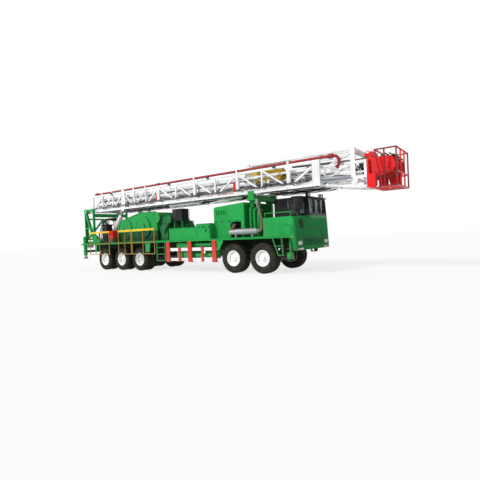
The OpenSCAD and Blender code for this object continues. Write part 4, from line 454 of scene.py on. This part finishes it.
def tyre(shape, centre, radius, width, pitches):
    """A tyre about Y: a rounded carcass, three rows of centre blocks and lugs down both shoulders."""
    half = width / 2
    floor = radius - TREAD_DEPTH
    side = [(half - 0.030, RIM_R - 0.004), (half - 0.012, RIM_R + 0.022), (half, RIM_R + 0.085),
            (half - 0.002, RIM_R + 0.13), (half - 0.014, floor - 0.045), (half - 0.040, floor - 0.012),
            (half - SHOULDER, floor)]
    outline = side + [(0, floor + 0.001)] + [(-y, r) for y, r in reversed(side)]
    outline += [(-half + 0.05, RIM_R - 0.018), (half - 0.05, RIM_R - 0.018)]
    shape.ring(centre, (0, 1, 0), outline, TYRE_SIDES)
    # Protector rib round each sidewall
    for sign in (-1, 1):
        rib = [(half - 0.006, 0.135), (half, 0.142), (half - 0.006, 0.150), (half - 0.02, 0.142)]
        shape.ring(centre, (0, 1, 0), [(sign * y, RIM_R + r) for y, r in rib], TYRE_SIDES)
    centre = Vector(centre)

    def block(turn, spread, y0, y1, r0, r1, skew=0.0, drop=0.0):
        points = []
        for r, inset in ((r0, 0.0), (r1, 0.12)):
            for y, shift in ((y0, -skew), (y1, skew)):
                for sign in (-1, 1):
                    a = turn + shift + sign * spread * (1 - inset)
                    low = drop if y == y1 and r == r1 else 0.0
                    points.append(centre + Vector(((r - low) * math.cos(a), y, (r - low) * math.sin(a))))
        shape.eight_corners(points)

    step = 2 * math.pi / pitches
    land = half - SHOULDER
    for i in range(pitches):
        for row in (-1, 0, 1):
            mid = row * land * 0.52
            block((i + 0.33 * (row + 1)) * step, step * 0.36, mid - land * 0.2, mid + land * 0.2,
                  floor - 0.004, radius, skew=0.12 * step)
        for sign in (-1, 1):
            turn = (i + 0.5 * (sign > 0)) * step
            block(turn, step * 0.30, sign * (land * 0.82), sign * (half - 0.034), floor - 0.02, radius,
                  skew=0.05 * step, drop=0.008)
            block(turn, step * 0.26, sign * (half - 0.05), sign * (half - 0.004), floor - 0.075, floor - 0.02,
                  drop=0.03)


def rim(shape, centre, width, disc, out):
    """Rim about Y: flanges, well, a dished disc at `disc` from the centre, hub and nuts on the out side."""
    half = width / 2
    edge = half - 0.018
    outer = [(0.03, 0.045), (edge - 0.02, 0.020), (edge - 0.014, 0.0), (edge, 0.002)]
    inner = [(edge, 0.012), (edge - 0.018, 0.032), (0.03, 0.058)]
    outer_left, inner_left = [[(-y, drop) for y, drop in reversed(row)] for row in (outer, inner)]
    section = outer_left + outer + inner + inner_left
    shape.ring(centre, (0, 1, 0), [(y, RIM_R - drop) for y, drop in section], TYRE_SIDES)
    face = disc * out
    hub_r, cells = 0.165, 60
    centre = Vector(centre)
    radii = [(0.085, face), (hub_r, face), (hub_r + 0.02, face - 0.012 * out),
             (hub_r + 0.038, face - 0.030 * out), (hub_r + 0.078, face - 0.040 * out),
             (RIM_R - 0.046, face - 0.045 * out)]
    for lift in (0.0, -0.012 * out):
        grid = []
        for k in range(cells):
            a = 2 * math.pi * k / cells
            grid.append([shape.mesh.verts.new(centre + Vector((r * math.cos(a), y + lift, r * math.sin(a))))
                         for r, y in radii])
        for k in range(cells):
            a, b = grid[k], grid[(k + 1) % cells]
            for i in range(len(radii) - 1):
                shape.mesh.faces.new((a[i], a[i + 1], b[i + 1], b[i]))
    # Hub with its cap
    tip = (half - 0.004) if disc > 0 else 0.10
    axis = Vector((0, out, 0))
    shape.lathe(centre, axis, [(disc - 0.02, 0.10), (disc + 0.012, 0.10), (disc + 0.018, 0.088),
                               (tip - 0.03, 0.082), (tip - 0.012, 0.07), (tip, 0.035), (tip, 0.0)], 36)
    for x, z in circle(0, 0, NUT_CIRCLE_R, WHEEL_NUTS, first=0.5):
        shape.bolt(centre + Vector((x, face, z)), axis, 0.0155, 0.026)


for node_name in NODES:
    if not node_name.startswith("wheel_"):
        continue
    low, high = box_of(node_name)
    centre = (low + high) / 2
    sign = -1 if centre.y < 0 else 1
    radius = (high.z - low.z) / 2
    twin = radius < FRONT_R - 0.01
    rubber_part, rim_part = Shape(), Shape()
    if twin:
        for y, disc, out in ((TWIN_OUTER_Y, 0.0, sign), (TWIN_INNER_Y, 0.06, -sign)):
            spot = (centre.x, sign * y, centre.z)
            tyre(rubber_part, spot, radius, TWIN_TYRE_W, REAR_PITCHES)
            rim(rim_part, spot, TWIN_TYRE_W, disc, out)
    else:
        tyre(rubber_part, centre, radius, high.y - low.y, FRONT_PITCHES)
        rim(rim_part, centre, high.y - low.y, 0.11, sign)
    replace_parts(rubber_part.piece("tyre_" + node_name, node_name, RUBBER, "tyre", smooth=35), node_name)
    rim_part.piece("rim_" + node_name, node_name, RIM_WHITE, "tyre", smooth=35)

# Front: lamp rings, coloured marker lenses, window seals and wipers

panel_lo, panel_hi = box_of("front_panel")
FACE_Z1 = panel_hi.z
FACE_LEAN = math.atan2(panel_hi.x - FACE_TOP_X, FACE_Z1 - panel_lo.z)


def on_face(y, z, out=0.0):
    """A point on the leaning front face."""
    down = (FACE_Z1 - z) / math.cos(FACE_LEAN)
    return Vector((FACE_TOP_X + down * math.sin(FACE_LEAN) + out, y, FACE_Z1 - down * math.cos(FACE_LEAN)))


face_out = Vector((math.cos(FACE_LEAN), 0, math.sin(FACE_LEAN)))
HEADLAMPS_Y, HEADLAMP_Z = (1.035, 1.18), 1.095
MARKER_Y, MARKER_W = 1.22, 0.18
MARKER_Z0, MARKER_Z, MARKER_Z1 = 0.864, 0.89, 0.916
bezels, markers = Shape(), Shape()
for sign in (-1, 1):
    for y in HEADLAMPS_Y:
        bezels.ring(on_face(sign * y, HEADLAMP_Z), face_out,
                    [(-0.01, 0.062), (0.016, 0.062), (0.018, 0.068), (0.012, 0.078), (-0.01, 0.080)], 40)
    spot, half = on_face(sign * MARKER_Y, MARKER_Z), MARKER_W / 2
    markers.box((spot.x - 0.01, spot.y - half, MARKER_Z0), (spot.x + 0.0165, spot.y + half, MARKER_Z1))
bezels.piece("lamp_bezels", "carrier", BARE_STEEL, "steel")
for sign in (-1, 1):
    markers.box((1.30, sign * HALF_W - 0.008, 1.29), (1.355, sign * HALF_W + 0.008, 1.325))
markers.piece("marker_lenses", "carrier", lens("orange_lens", (0.75, 0.20, 0.01)), "lamp", bevel=0.004)

PANES, PANE_Y, PANE_W, PANE_GAP = 3, -0.09, 0.44, 0.05
PANE_X, PANE_LEAN, PANE_Z0, PANE_Z1 = FACE_TOP_X - 0.045, 0.045, 2.18, 2.70
seals = Shape()
for i in range(PANES):
    y0 = PANE_Y + i * (PANE_W + PANE_GAP)
    y1 = y0 + PANE_W
    foot = [(PANE_X, y0, PANE_Z0), (PANE_X, y1, PANE_Z0)]
    head = [(PANE_X - PANE_LEAN, y1, PANE_Z1), (PANE_X - PANE_LEAN, y0, PANE_Z1)]
    seals.tube(foot + head + foot, 0.009, 8)
seals.piece("window_seals", "carrier", HOSE_BLACK, "seat_black")

WIPERS_Y, WIPER_REACH = (0.35, 1.05), 0.32
wipers = Shape()
for y in WIPERS_Y:
    foot = Vector((1.40, y, 2.12))
    tip = Vector((1.396, y - WIPER_REACH, 2.45))
    wipers.lathe(foot, (1, 0, 0), [(-0.02, 0.02), (0.012, 0.02), (0.016, 0.012)], 16)
    wipers.tube([foot + Vector((0.01, 0, 0)), tip], 0.006, 8)
    wipers.tube([tip + Vector((-0.002, 0.05, -0.2)), tip + Vector((-0.004, -0.04, 0.2))], 0.007, 8)
wipers.piece("wipers", "carrier", CAB_BLACK, "seat_black")

# Mast: bolts, hose lines, ladder, lamps and the wire lines inside

LOWER_Y = 0.85
LOWER_Z0, LOWER_Z1 = 3.035, 3.93
SPLICE_X, BAY = -5.89, 1.142857
TAIL_X, TAIL_BAY = -11.05, 0.86
PIVOT_X, PIVOT_Z, PIVOT_FACE_Y, PIVOT_R, PIVOT_BOLTS = -11.35, 3.1, 0.91, 0.095, 8
heavy_posts = [SPLICE_X + 2 * i * BAY for i in range(4)]
light_posts = [TAIL_X + TAIL_BAY * i for i in range(1, 6)] + [SPLICE_X + (2 * i + 1) * BAY for i in range(3)]
bolts = Shape()
for sign in (-1, 1):
    for x in heavy_posts:
        for z in (LOWER_Z0 + 0.045, LOWER_Z1 - 0.045):
            for dx in (-0.045, 0.045):
                bolts.bolt((x + dx, sign * LOWER_Y, z), (0, sign, 0), 0.013)
        for dz in (0.16, 0.30, 0.60, 0.74):
            bolts.bolt((x, sign * LOWER_Y, LOWER_Z0 + dz), (0, sign, 0), 0.013)
    for x in (SPLICE_X - 0.035, SPLICE_X + 0.095):
        for z in (3.10, 3.3, 3.5, 3.7, 3.87):
            bolts.bolt((x, sign * LOWER_Y, z), (0, sign, 0), 0.011)
    for x, z in circle(PIVOT_X, PIVOT_Z, PIVOT_R, PIVOT_BOLTS):
        bolts.bolt((x, sign * PIVOT_FACE_Y, z), (0, sign, 0), 0.010)
bolts.piece("mast_bolts", "mast_lower", BARE_STEEL, "steel", smooth=30)

HOSE_LINES_Z = (3.195, 3.225, 3.255)
lines = Shape()
for z in HOSE_LINES_Z:
    path = [(-10.9, z)] + [(-9 + 1.2 * n, z + 0.004 * (n % 2)) for n in range(9)] + [(1.75, z)]
    lines.tube([(x, -LOWER_Y - 0.014, height) for x, height in path], 0.010, 8)
lines.piece("mast_hose_lines", "mast_lower", HOSE_BLACK, "seat_black")
clamps = Shape()
for x in heavy_posts + light_posts:
    clamps.box((x - 0.02, -LOWER_Y - 0.028, 3.178), (x + 0.02, -LOWER_Y + 0.03, 3.272))
clamps.piece("hose_clamps", "mast_lower", BARE_STEEL, "steel", bevel=0.003)

LADDER_Y = LOWER_Y + 0.06
LADDER_X0, LADDER_X1 = -9.75, 1.95
LADDER_Z0, LADDER_Z1 = 3.34, 3.68
RUNG_STEP = 0.3
ladder = Shape()
for z in (LADDER_Z0, LADDER_Z1):
    ladder.tube([(LADDER_X0, LADDER_Y, z), (LADDER_X1, LADDER_Y, z)], 0.017, 10)
for i in range(int((LADDER_X1 - LADDER_X0) / RUNG_STEP) + 1):
    x = LADDER_X0 + 0.04 + i * RUNG_STEP
    ladder.tube([(x, LADDER_Y, LADDER_Z0), (x, LADDER_Y, LADDER_Z1)], 0.011, 8)
for x in [SPLICE_X + i * BAY for i in range(-3, 7)]:
    for z in (LADDER_Z0, LADDER_Z1):
        ladder.box((x - 0.02, LOWER_Y - 0.03, z - 0.01), (x + 0.02, LOWER_Y + 0.05, z + 0.01))
ladder.piece("mast_ladder", "mast_lower", MAST_WHITE, "mast_white")

# Drill lines over the crown's sheaves, and wires that lie along the upper section's floor
SHEAVE_X, SHEAVE_Z, LINE_R = 4.3, 3.48, 0.319
wires = Shape()
for i in range(5):
    y = -0.3 + 0.15 * i
    round_front = []
    for k in range(13):
        t = math.radians(90 - 15 * k)
        round_front.append((SHEAVE_X + LINE_R * math.cos(t), y, SHEAVE_Z + LINE_R * math.sin(t)))
    wires.tube([(0.3, y * 0.45 + 0.012, 3.98)] + round_front + [(0.3, y * 0.45 - 0.012, 3.70)], 0.010, 8)
for i in range(6):
    y = -0.45 + 0.18 * i
    wires.tube([(-10.1 + 1.05 * n, y + 0.03 * math.sin(1.7 * n + i), 3.232 + 0.006 * ((n + i) % 3))
                for n in range(13)], 0.010, 8)
wires.piece("wire_lines", "mast_upper", ROPE_STEEL, "steel")

MAST_LAMPS_X, MAST_LAMP_Z = (-9.33, -5.1, -2.8, 0.4), 3.90
mast_lamps, lamp_glass = Shape(), Shape()
for x in MAST_LAMPS_X:
    for sign in (-1, 1):
        spot = Vector((x, sign * (LOWER_Y + 0.05), MAST_LAMP_Z))
        y0, y1 = sorted((sign * 0.84, sign * 0.90))
        mast_lamps.lathe(spot, (0, 0, -1), [(-0.05, 0.02), (-0.04, 0.05), (0.03, 0.06), (0.035, 0.055)], 20)
        mast_lamps.box((x - 0.015, y0, 3.92), (x + 0.015, y1, 3.945))
        lamp_glass.lathe(spot, (0, 0, -1), [(0.03, 0.05), (0.07, 0.048), (0.095, 0.03), (0.10, 0.005)], 20)
mast_lamps.piece("mast_lamps", "mast_lower", DARK_STEEL, "steel")
lamp_glass.piece("mast_lamp_glass", "mast_lower", SLOT_MATERIALS["lamp"], "lamp")

# Crown: bolts round the sheaves' plates and down the right plate's edge
PLATE_Y, PLATE_BOLTS = 0.54, 12
crown_bolts = Shape()
for sign, circle_r in ((-1, 0.215), (1, 0.265)):
    for x, z in circle(SHEAVE_X, SHEAVE_Z, circle_r, PLATE_BOLTS):
        crown_bolts.bolt((x, sign * PLATE_Y, z), (0, sign, 0), 0.012)
for z in (3.2, 3.35, 3.5, 3.65, 3.74):
    for x in (3.80, 3.93):
        crown_bolts.bolt((x, -PLATE_Y, z), (0, -1, 0), 0.011)
crown_bolts.piece("crown_bolts", "mast_upper", BRIGHT_RED, "crown_red", smooth=30)

# Drawworks: bolt circles on the covers, hoses and pipes round the machinery
BOLT_CIRCLES = [  # centre x and z, radius, half width, bolts
    (-8.30, 2.02, 0.478, 0.95, 24), (-6.95, 2.03, 0.498, 0.97, 24), (-6.01, 2.44, 0.228, 0.94, 12),
    (-6.95, 2.03, 0.165, 1.01, 10), (-5.675, 1.90, 0.185, 0.80, 10), (-5.675, 2.29, 0.11, 0.79, 8)]
case_bolts = Shape()
for sign in (-1, 1):
    for centre_x, centre_z, circle_r, y, count in BOLT_CIRCLES:
        for x, z in circle(centre_x, centre_z, circle_r, count):
            case_bolts.bolt((x, sign * y, z), (0, sign, 0), 0.010, 0.009)
case_bolts.piece("case_bolts", "carrier", BARE_STEEL, "steel", smooth=30)

PIPE_Y, BEND_R = -1.02, 0.12
pipes = Shape()
for i, x in enumerate((-0.62, -0.44, -0.26)):
    top = 2.52 - 0.07 * i
    bend = [(x, PIPE_Y + BEND_R * (1 - math.cos(a)), top - BEND_R + BEND_R * math.sin(a))
            for a in (0.0, 0.4, 0.8, 1.2, 1.57)]
    pipes.tube([(x, PIPE_Y, DECK_TOP)] + bend + [(x, -0.74, top)], 0.042, 14)
    for z in (1.40, 1.92):
        pipes.lathe((x, PIPE_Y, z), (0, 0, 1), [(0, 0.055), (0.03, 0.055)], 20)
pipes.piece("cooling_pipes", "carrier", BODY_GREEN, "body_green")

HOSE_STEPS = 12
HOSES = [  # from, over, to, radius
    ((-5.2, -0.6, 2.3), (-5.35, -0.85, 2.05), (-5.6, -0.82, 1.75), 0.022),
    ((-4.95, -0.62, 2.26), (-4.8, -0.82, 1.95), (-4.72, -0.80, 1.9), 0.018),
    ((-5.0, -0.60, 1.55), (-4.9, -0.95, 1.5), (-4.74, -0.98, 1.6), 0.018),
    ((-6.02, -0.75, 1.60), (-6.1, -1.05, 1.55), (-6.5, -1.06, 1.42), 0.022),
    ((-5.1, 0.62, 2.26), (-5.3, 0.86, 2.0), (-5.55, 0.82, 1.7), 0.022)]
hoses = Shape()
for start, over, end, radius in HOSES:
    a, b, c = Vector(start), Vector(over), Vector(end)
    steps = [k / HOSE_STEPS for k in range(HOSE_STEPS + 1)]
    hoses.tube([a * (1 - t) ** 2 + 2 * b * t * (1 - t) + c * t ** 2 for t in steps], radius, 10)
hoses.piece("machine_hoses", "carrier", HOSE_BLACK, "seat_black")

# Tail lamp lenses
TAIL_LAMP_X, TAIL_LAMP_Z = -11.462, 1.225
tail = Shape()
for sign in (-1, 1):
    for y in (0.75, 0.805, 0.95, 1.005):
        tail.lathe((TAIL_LAMP_X, sign * y, TAIL_LAMP_Z), (-1, 0, 0),
                   [(0, 0.024), (0.012, 0.024), (0.016, 0.016)], 20)
tail.piece("tail_lenses", "carrier", lens("red_lens", (0.5, 0.01, 0.01)), "lamp")

# Brake chambers on the axles, and screws along the deck's edge
FRONT_AXLES_X, REAR_AXLES_X = (0, -1.335), (-6.86, -8.21, -9.56)
fittings = Shape()
for sign in (-1, 1):
    for i in range(12):
        place = (-10.8 + 0.95 * i, sign * (HALF_W - 0.001), DECK_TOP - 0.007)
        fittings.bolt(place, (0, sign, 0), 0.006, 0.0009)
    for x in FRONT_AXLES_X:
        fittings.lathe((x - 0.10, sign * 0.30, 0.47), (1, 0, 0),
                       [(-0.16, 0.03), (-0.15, 0.075), (-0.05, 0.085), (0, 0.085), (0.01, 0.07),
                        (0.04, 0.02)], 24)
    for x in REAR_AXLES_X:
        fittings.lathe((x - 0.12, sign * 0.42, 0.66), (1, 0, 0),
                       [(-0.16, 0.03), (-0.15, 0.08), (-0.05, 0.09), (0, 0.09), (0.01, 0.07),
                        (0.05, 0.02)], 24)
fittings.piece("brake_chambers", "carrier", SLOT_MATERIALS["axle_black"], "axle_black")

# Hose bundles inside the mast and lines under it, black to darken its inside and underside as painted shade;
# the grey barrel at its mouth, the tangle in its nose and the bars that guard the lines on the sheaves
SIDE_SHADE_HOSES = [  # side, heights of its hoses
    (-1, (3.30, 3.335, 3.37, 3.55, 3.59)), (1, (3.27, 3.31, 3.35, 3.39, 3.45, 3.50, 3.55, 3.60))]
shade_hoses = Shape()
for sign, heights in SIDE_SHADE_HOSES:
    for k, z in enumerate(heights):
        path = [(-10.7 + 1.15 * n, sign * 0.722, z + 0.008 * math.sin(2.3 * n + k)) for n in range(12)]
        shade_hoses.tube(path, 0.011 + 0.003 * (k % 2), 8)
for k, y in enumerate((-0.81, -0.77, -0.33, -0.29, -0.1, 0.12, 0.30, 0.77, 0.81)):
    for x0, x1 in ((-10.4, -1.05), (-0.2, 2.1)):
        count = int((x1 - x0) / 0.57) * 2 + 1
        shade_hoses.tube([(x0 + (x1 - x0) * n / (count - 1), y + 0.006 * math.sin(n + k), 3.018 - 0.022 * (n % 2))
                     for n in range(count)], 0.013, 8)
shade_hoses.piece("mast_shade_hoses", "mast_lower", HOSE_BLACK, "seat_black")
barrel = Shape()
barrel.lathe((2.22, -0.752, 3.255), (1, 0, -0.06),
             [(0, 0.02), (0.001, 0.055), (0.03, 0.062), (0.04, 0.066), (0.9, 0.066), (0.91, 0.058),
              (0.97, 0.058), (0.98, 0.03), (1.0, 0.03)], 36)
barrel.piece("mouth_barrel", "mast_upper", SLOT_MATERIALS["silencer"], "silencer")
nose = Shape()
for k in range(8):
    y = -0.56 + 0.155 * k
    nose.tube([(3.22, y, 3.34), (3.33, y + 0.05, 3.62 - 0.02 * (k % 3)),
               (3.46, y - 0.04, 3.46 + 0.03 * (k % 2)), (3.58, y + 0.03, 3.66), (3.68, y, 3.38)], 0.019, 8)
for x, y, z in ((3.30, -0.50, 3.44), (3.50, -0.52, 3.58), (3.56, -0.30, 3.36), (3.36, 0.1, 3.56),
                (3.52, 0.4, 3.42)):
    nose.box((x - 0.05, y - 0.07, z - 0.05), (x + 0.05, y + 0.07, z + 0.05))
nose.piece("nose_hoses", "mast_upper", HOSE_BLACK, "seat_black", bevel=0.004)
GUARD_R = 0.37
guards = Shape()
for turn in range(35, 156, 20):
    a = math.radians(turn)
    x, z = SHEAVE_X + GUARD_R * math.cos(a), SHEAVE_Z + GUARD_R * math.sin(a)
    guards.tube([(x, -0.5, z), (x, 0.5, z)], 0.022, 10)
guards.piece("line_guards", "mast_upper", HOSE_BLACK, "seat_black")

# Housings of the work lamps on the cab's roof: a back, a lid and two cheeks each
SHEET = 0.015
roof = Shape()
for y0 in (cab_lo.y + 0.12, cab_hi.y - 0.32):
    x0, x1, y1, foot, head = cab_hi.x - 0.21, cab_hi.x - 0.112, y0 + 0.2, cab_hi.z + 0.002, cab_hi.z + 0.13
    roof.box((x0, y0 - SHEET, foot), (x0 + 0.03, y1 + SHEET, head + SHEET))
    roof.box((x0, y0 - SHEET, head - 0.005), (x1, y1 + SHEET, head + SHEET))
    for a, b in ((y0 - SHEET, y0 + 0.008), (y1 - 0.008, y1 + SHEET)):
        roof.box((x0, a, foot), (x1, b, head + SHEET))
roof.piece("roof_lamp_housings", "carrier", CAB_BLACK, "seat_black", bevel=0.004)

# Seams of the front panel, hood latches, and the lockers' locks, handle and slot
SEAMS = [  # y and z of each seam's two ends
    ((-1.36, 1.79), (-0.17, 1.55)), ((-0.17, 1.55), (1.05, 1.80)), ((-0.16, 1.80), (1.17, 1.22)),
    ((-1.36, 1.31), (1.15, 1.27)), ((-1.36, 1.22), (1.15, 1.18)), ((-1.36, 1.16), (1.13, 0.99))]
LATCHES_X = (-2.27, -1.95, -1.588, -1.235)
LOCKS_XZ = ((-2.725, 1.864), (-2.406, 1.862))
marks = Shape()
for (y0, z0), (y1, z1) in SEAMS:
    marks.tube([on_face(y0, z0, 0.001), on_face(y1, z1, 0.001)], 0.007, 6)
for x in LATCHES_X:
    marks.box((x - 0.014, hood_lo.y - 0.012, 1.98), (x + 0.014, hood_lo.y + 0.01, 2.06))
    marks.box((x - 0.014, hood_lo.y - 0.012, 2.045), (x + 0.035, hood_lo.y + 0.01, 2.06))
for x, z in LOCKS_XZ:
    marks.lathe((x, -1.40, z), (0, -1, 0), [(-0.01, 0.034), (0.006, 0.034), (0.009, 0.026)], 20)
marks.box((-2.60, -1.407, 1.65), (-2.565, -1.39, 1.75))
marks.box((-2.62, -1.407, 1.72), (-2.53, -1.39, 1.75))
marks.box((-2.307, -1.404, 1.384), (-1.938, -1.38, 1.402))
marks.lathe((-1.42, hood_lo.y, 1.84), (0, -1, 0), [(-0.02, 0.12), (0.004, 0.12), (0.004, 0.0)], 28)
marks.piece("seams_and_latches", "carrier", CAB_BLACK, "seat_black")

# A dark round disc on the front panel
dark_disc = Shape()
dark_disc.lathe(on_face(-0.88, 1.79), face_out, [(-0.02, 0.19), (0.004, 0.19), (0.008, 0.18), (0.008, 0.0)], 36)
dark_disc_green = painted("dark_disc_green", (0.003, 0.055, 0.016), rough=0.5, gloss=0.05)
dark_disc.piece("panel_dark_disc", "carrier", dark_disc_green, "frame_green")

# Steering gear below the front steps
gear = Shape()
gear.box((0.96, -1.20, 0.56), (1.16, -1.02, 0.78))
gear.lathe((1.06, -1.02, 0.64), (0, -1, 0),
           [(0, 0.02), (0.0, 0.10), (0.2, 0.10), (0.22, 0.06), (0.25, 0.02)], 24)
gear.box((1.04, -1.14, 0.78), (1.12, -1.06, DECK_UNDER + 0.01))
gear.tube([(1.0, -1.11, 0.58), (1.14, -1.11, 0.52), (1.22, -1.11, 0.60)], 0.022, 10)
gear.piece("steering_gear", "carrier", BODY_GREEN, "body_green", bevel=0.006)

# Driller's console and the hoses that arch over from it
console = Shape()
console.box((-10.02, -1.06, DECK_TOP), (-9.62, -0.72, 2.28))
console.box((-10.06, -1.10, 2.28), (-9.58, -0.68, 2.33))
for k in range(7):
    x = -10.36 + 0.11 * k
    console.tube([(x, -1.0 + 0.05 * (k % 3), DECK_TOP + 0.01), (x + 0.05, -1.02, 1.9),
                  (x + 0.16, -0.92, 2.42 + 0.03 * k), (x + 0.34, -0.70, 2.66), (x + 0.5, -0.45, 2.50),
                  (x + 0.52, -0.40, DECK_TOP + 0.01)], 0.020, 8)
console.piece("console_hoses", "carrier", HOSE_BLACK, "seat_black", bevel=0.004)

# Driver's seat: crowned pads with sewn channels and piping
CLOTH = painted("seat_cloth", (0.022, 0.022, 0.024), rough=0.75, grime=0.05, rust=0.0, bump=0.6, grain=420.0,
                gloss=0.1)
PAD_STEPS = 28
PIPING_STEPS, PIPING_EDGE = 40, 0.955
CHANNELS = (-0.5, 0.0, 0.5)


def pad(name, low, high, across):
    """A stuffed pad: `across` is the axis of its thickness; the sewn channels cross its first other axis."""
    low, high = Vector(low), Vector(high)
    mid, half = (low + high) / 2, (high - low) / 2
    first, second = [axis for axis in range(3) if axis != across]
    shape = Shape()
    bmesh.ops.create_cube(shape.mesh, size=2.0)
    bmesh.ops.subdivide_edges(shape.mesh, edges=shape.mesh.edges[:], cuts=PAD_STEPS, use_grid_fill=True)
    for vert in shape.mesh.verts:
        place = list(vert.co)
        u, v, w = place[first], place[second], place[across]
        fill = (1 - u ** 4) * (1 - v ** 4)
        seam = sum(math.exp(-((u - line) / 0.035) ** 2) for line in CHANNELS)
        round_off = 1 - 0.10 * max(abs(u), abs(v)) ** 10 * abs(w) ** 4
        place[first] = u * (1 - 0.045 * (1 - v * v)) * round_off
        place[second] = v * (1 - 0.045 * (1 - u * u)) * round_off
        place[across] = w * (0.62 + 0.38 * fill - 0.10 * seam * fill)
        vert.co = mid + Vector([place[axis] * half[axis] for axis in range(3)])
    shape.piece(name, "carrier", CLOTH, "seat_black", smooth=80)
    piping = Shape()
    for side in (-1, 1):
        loop = []
        for turn in range(PIPING_STEPS + 1):
            a = 2 * math.pi * turn / PIPING_STEPS
            place = [0.0] * 3
            place[first] = max(-1, min(1, 1.25 * math.cos(a))) * PIPING_EDGE
            place[second] = max(-1, min(1, 1.25 * math.sin(a))) * PIPING_EDGE
            place[across] = side * 0.63
            loop.append(mid + Vector([place[axis] * half[axis] for axis in range(3)]))
        piping.tube(loop, 0.005, 8)
    piping.piece(name + "_piping", "carrier", HOSE_BLACK, "seat_black")


pad("seat_cushion", (0.134, 0.508, 1.622), (0.636, 1.032, 1.785), across=2)
pad("seat_back", (0.068, 0.518, 1.700), (0.222, 1.022, 2.392), across=0)

# Camera, solved from the photograph's frame

SENSOR_MM, FRAME_PX, FOCAL_PX = 36.0, 480, 382.4
CAMERA_PLACE = Vector((7.5665 + AXLE_1_X, -13.0857, 1.4419))
YAW, PITCH, ROLL = 2.1975, -0.0113, -0.0442
ahead = Vector((math.cos(PITCH) * math.cos(YAW), math.cos(PITCH) * math.sin(YAW), math.sin(PITCH)))
level_right = Vector((math.sin(YAW), -math.cos(YAW), 0))
level_up = level_right.cross(ahead)
right = math.cos(ROLL) * level_right + math.sin(ROLL) * level_up
up = math.cos(ROLL) * level_up - math.sin(ROLL) * level_right
camera_data = bpy.data.cameras.new("camera")
camera_data.sensor_width = SENSOR_MM
camera_data.lens = FOCAL_PX * SENSOR_MM / FRAME_PX
camera_data.clip_end = 300
camera = bpy.data.objects.new("camera", camera_data)
camera.matrix_world = Matrix.Translation(CAMERA_PLACE) @ Matrix((right, up, -ahead)).transposed().to_4x4()
bpy.context.scene.collection.objects.link(camera)
bpy.context.scene.camera = camera

# Light: a broad key from the right rear, a weak fill from the right front, and a white surround

AMBIENT = 0.5
FLOOR_HALF = 120.0
FLOOR_GLOW = 0.75


def seen_directly(tree):
    """1 for rays from the camera, in reflections and through glass."""
    path = tree.nodes.new("ShaderNodeLightPath")
    total = None
    for name in ("Is Camera Ray", "Is Glossy Ray", "Is Transmission Ray"):
        if total is None:
            total = path.outputs[name]
            continue
        add = tree.nodes.new("ShaderNodeMath")
        add.operation = "MAXIMUM"
        tree.links.new(total, add.inputs[0])
        tree.links.new(path.outputs[name], add.inputs[1])
        total = add.outputs[0]
    return total


world = bpy.data.worlds.new("surround")
world.use_nodes = True
bpy.context.scene.world = world
background = world.node_tree.nodes["Background"]
background.inputs["Color"].default_value = (1, 1, 1, 1)
# The world lights the scene with AMBIENT, and is white where it is seen
strength = world.node_tree.nodes.new("ShaderNodeMapRange")
strength.inputs["To Min"].default_value = AMBIENT
strength.inputs["To Max"].default_value = 1.0
world.node_tree.links.new(seen_directly(world.node_tree), strength.inputs[0])
world.node_tree.links.new(strength.outputs[0], background.inputs["Strength"])


def sun(name, direction, power, softness):
    data = bpy.data.lights.new(name, "SUN")
    data.energy = power
    data.angle = math.radians(softness)
    lamp = bpy.data.objects.new(name, data)
    lamp.matrix_world = Vector(direction).to_track_quat("-Z", "Y").to_matrix().to_4x4()
    bpy.context.scene.collection.objects.link(lamp)


sun("key", (0.42, 0.80, -0.62), 2.5, 14)
sun("fill", (-0.7, 0.5, -0.35), 0.2, 40)

# Floor: white, and seen a little brighter than the light makes it
floor_mesh = bpy.data.meshes.new("floor")
corners = [(x * FLOOR_HALF, y * FLOOR_HALF, 0) for x, y in ((-1, -1), (1, -1), (1, 1), (-1, 1))]
floor_mesh.from_pydata(corners, [], [(0, 1, 2, 3)])
floor = bpy.data.objects.new("floor", floor_mesh)
bpy.context.scene.collection.objects.link(floor)
ground = Graph("floor")
whites = ground.mix(ground.noise(0.4, 3), (0.86, 0.86, 0.86), (0.9, 0.9, 0.9))
ground.link(whites, ground.shader.inputs["Base Color"])
ground.shader.inputs["Roughness"].default_value = 0.9
glow = ground.node("ShaderNodeEmission")
blend = ground.node("ShaderNodeMixShader")
ground.link(ground.math("MULTIPLY", seen_directly(ground.tree), FLOOR_GLOW), blend.inputs[0])
ground.link(ground.shader.outputs[0], blend.inputs[1])
ground.link(glow.outputs[0], blend.inputs[2])
ground.link(blend.outputs[0], ground.tree.nodes["Material Output"].inputs["Surface"])
floor_mesh.materials.append(ground.material)

bpy.context.scene.view_settings.view_transform = "Standard"
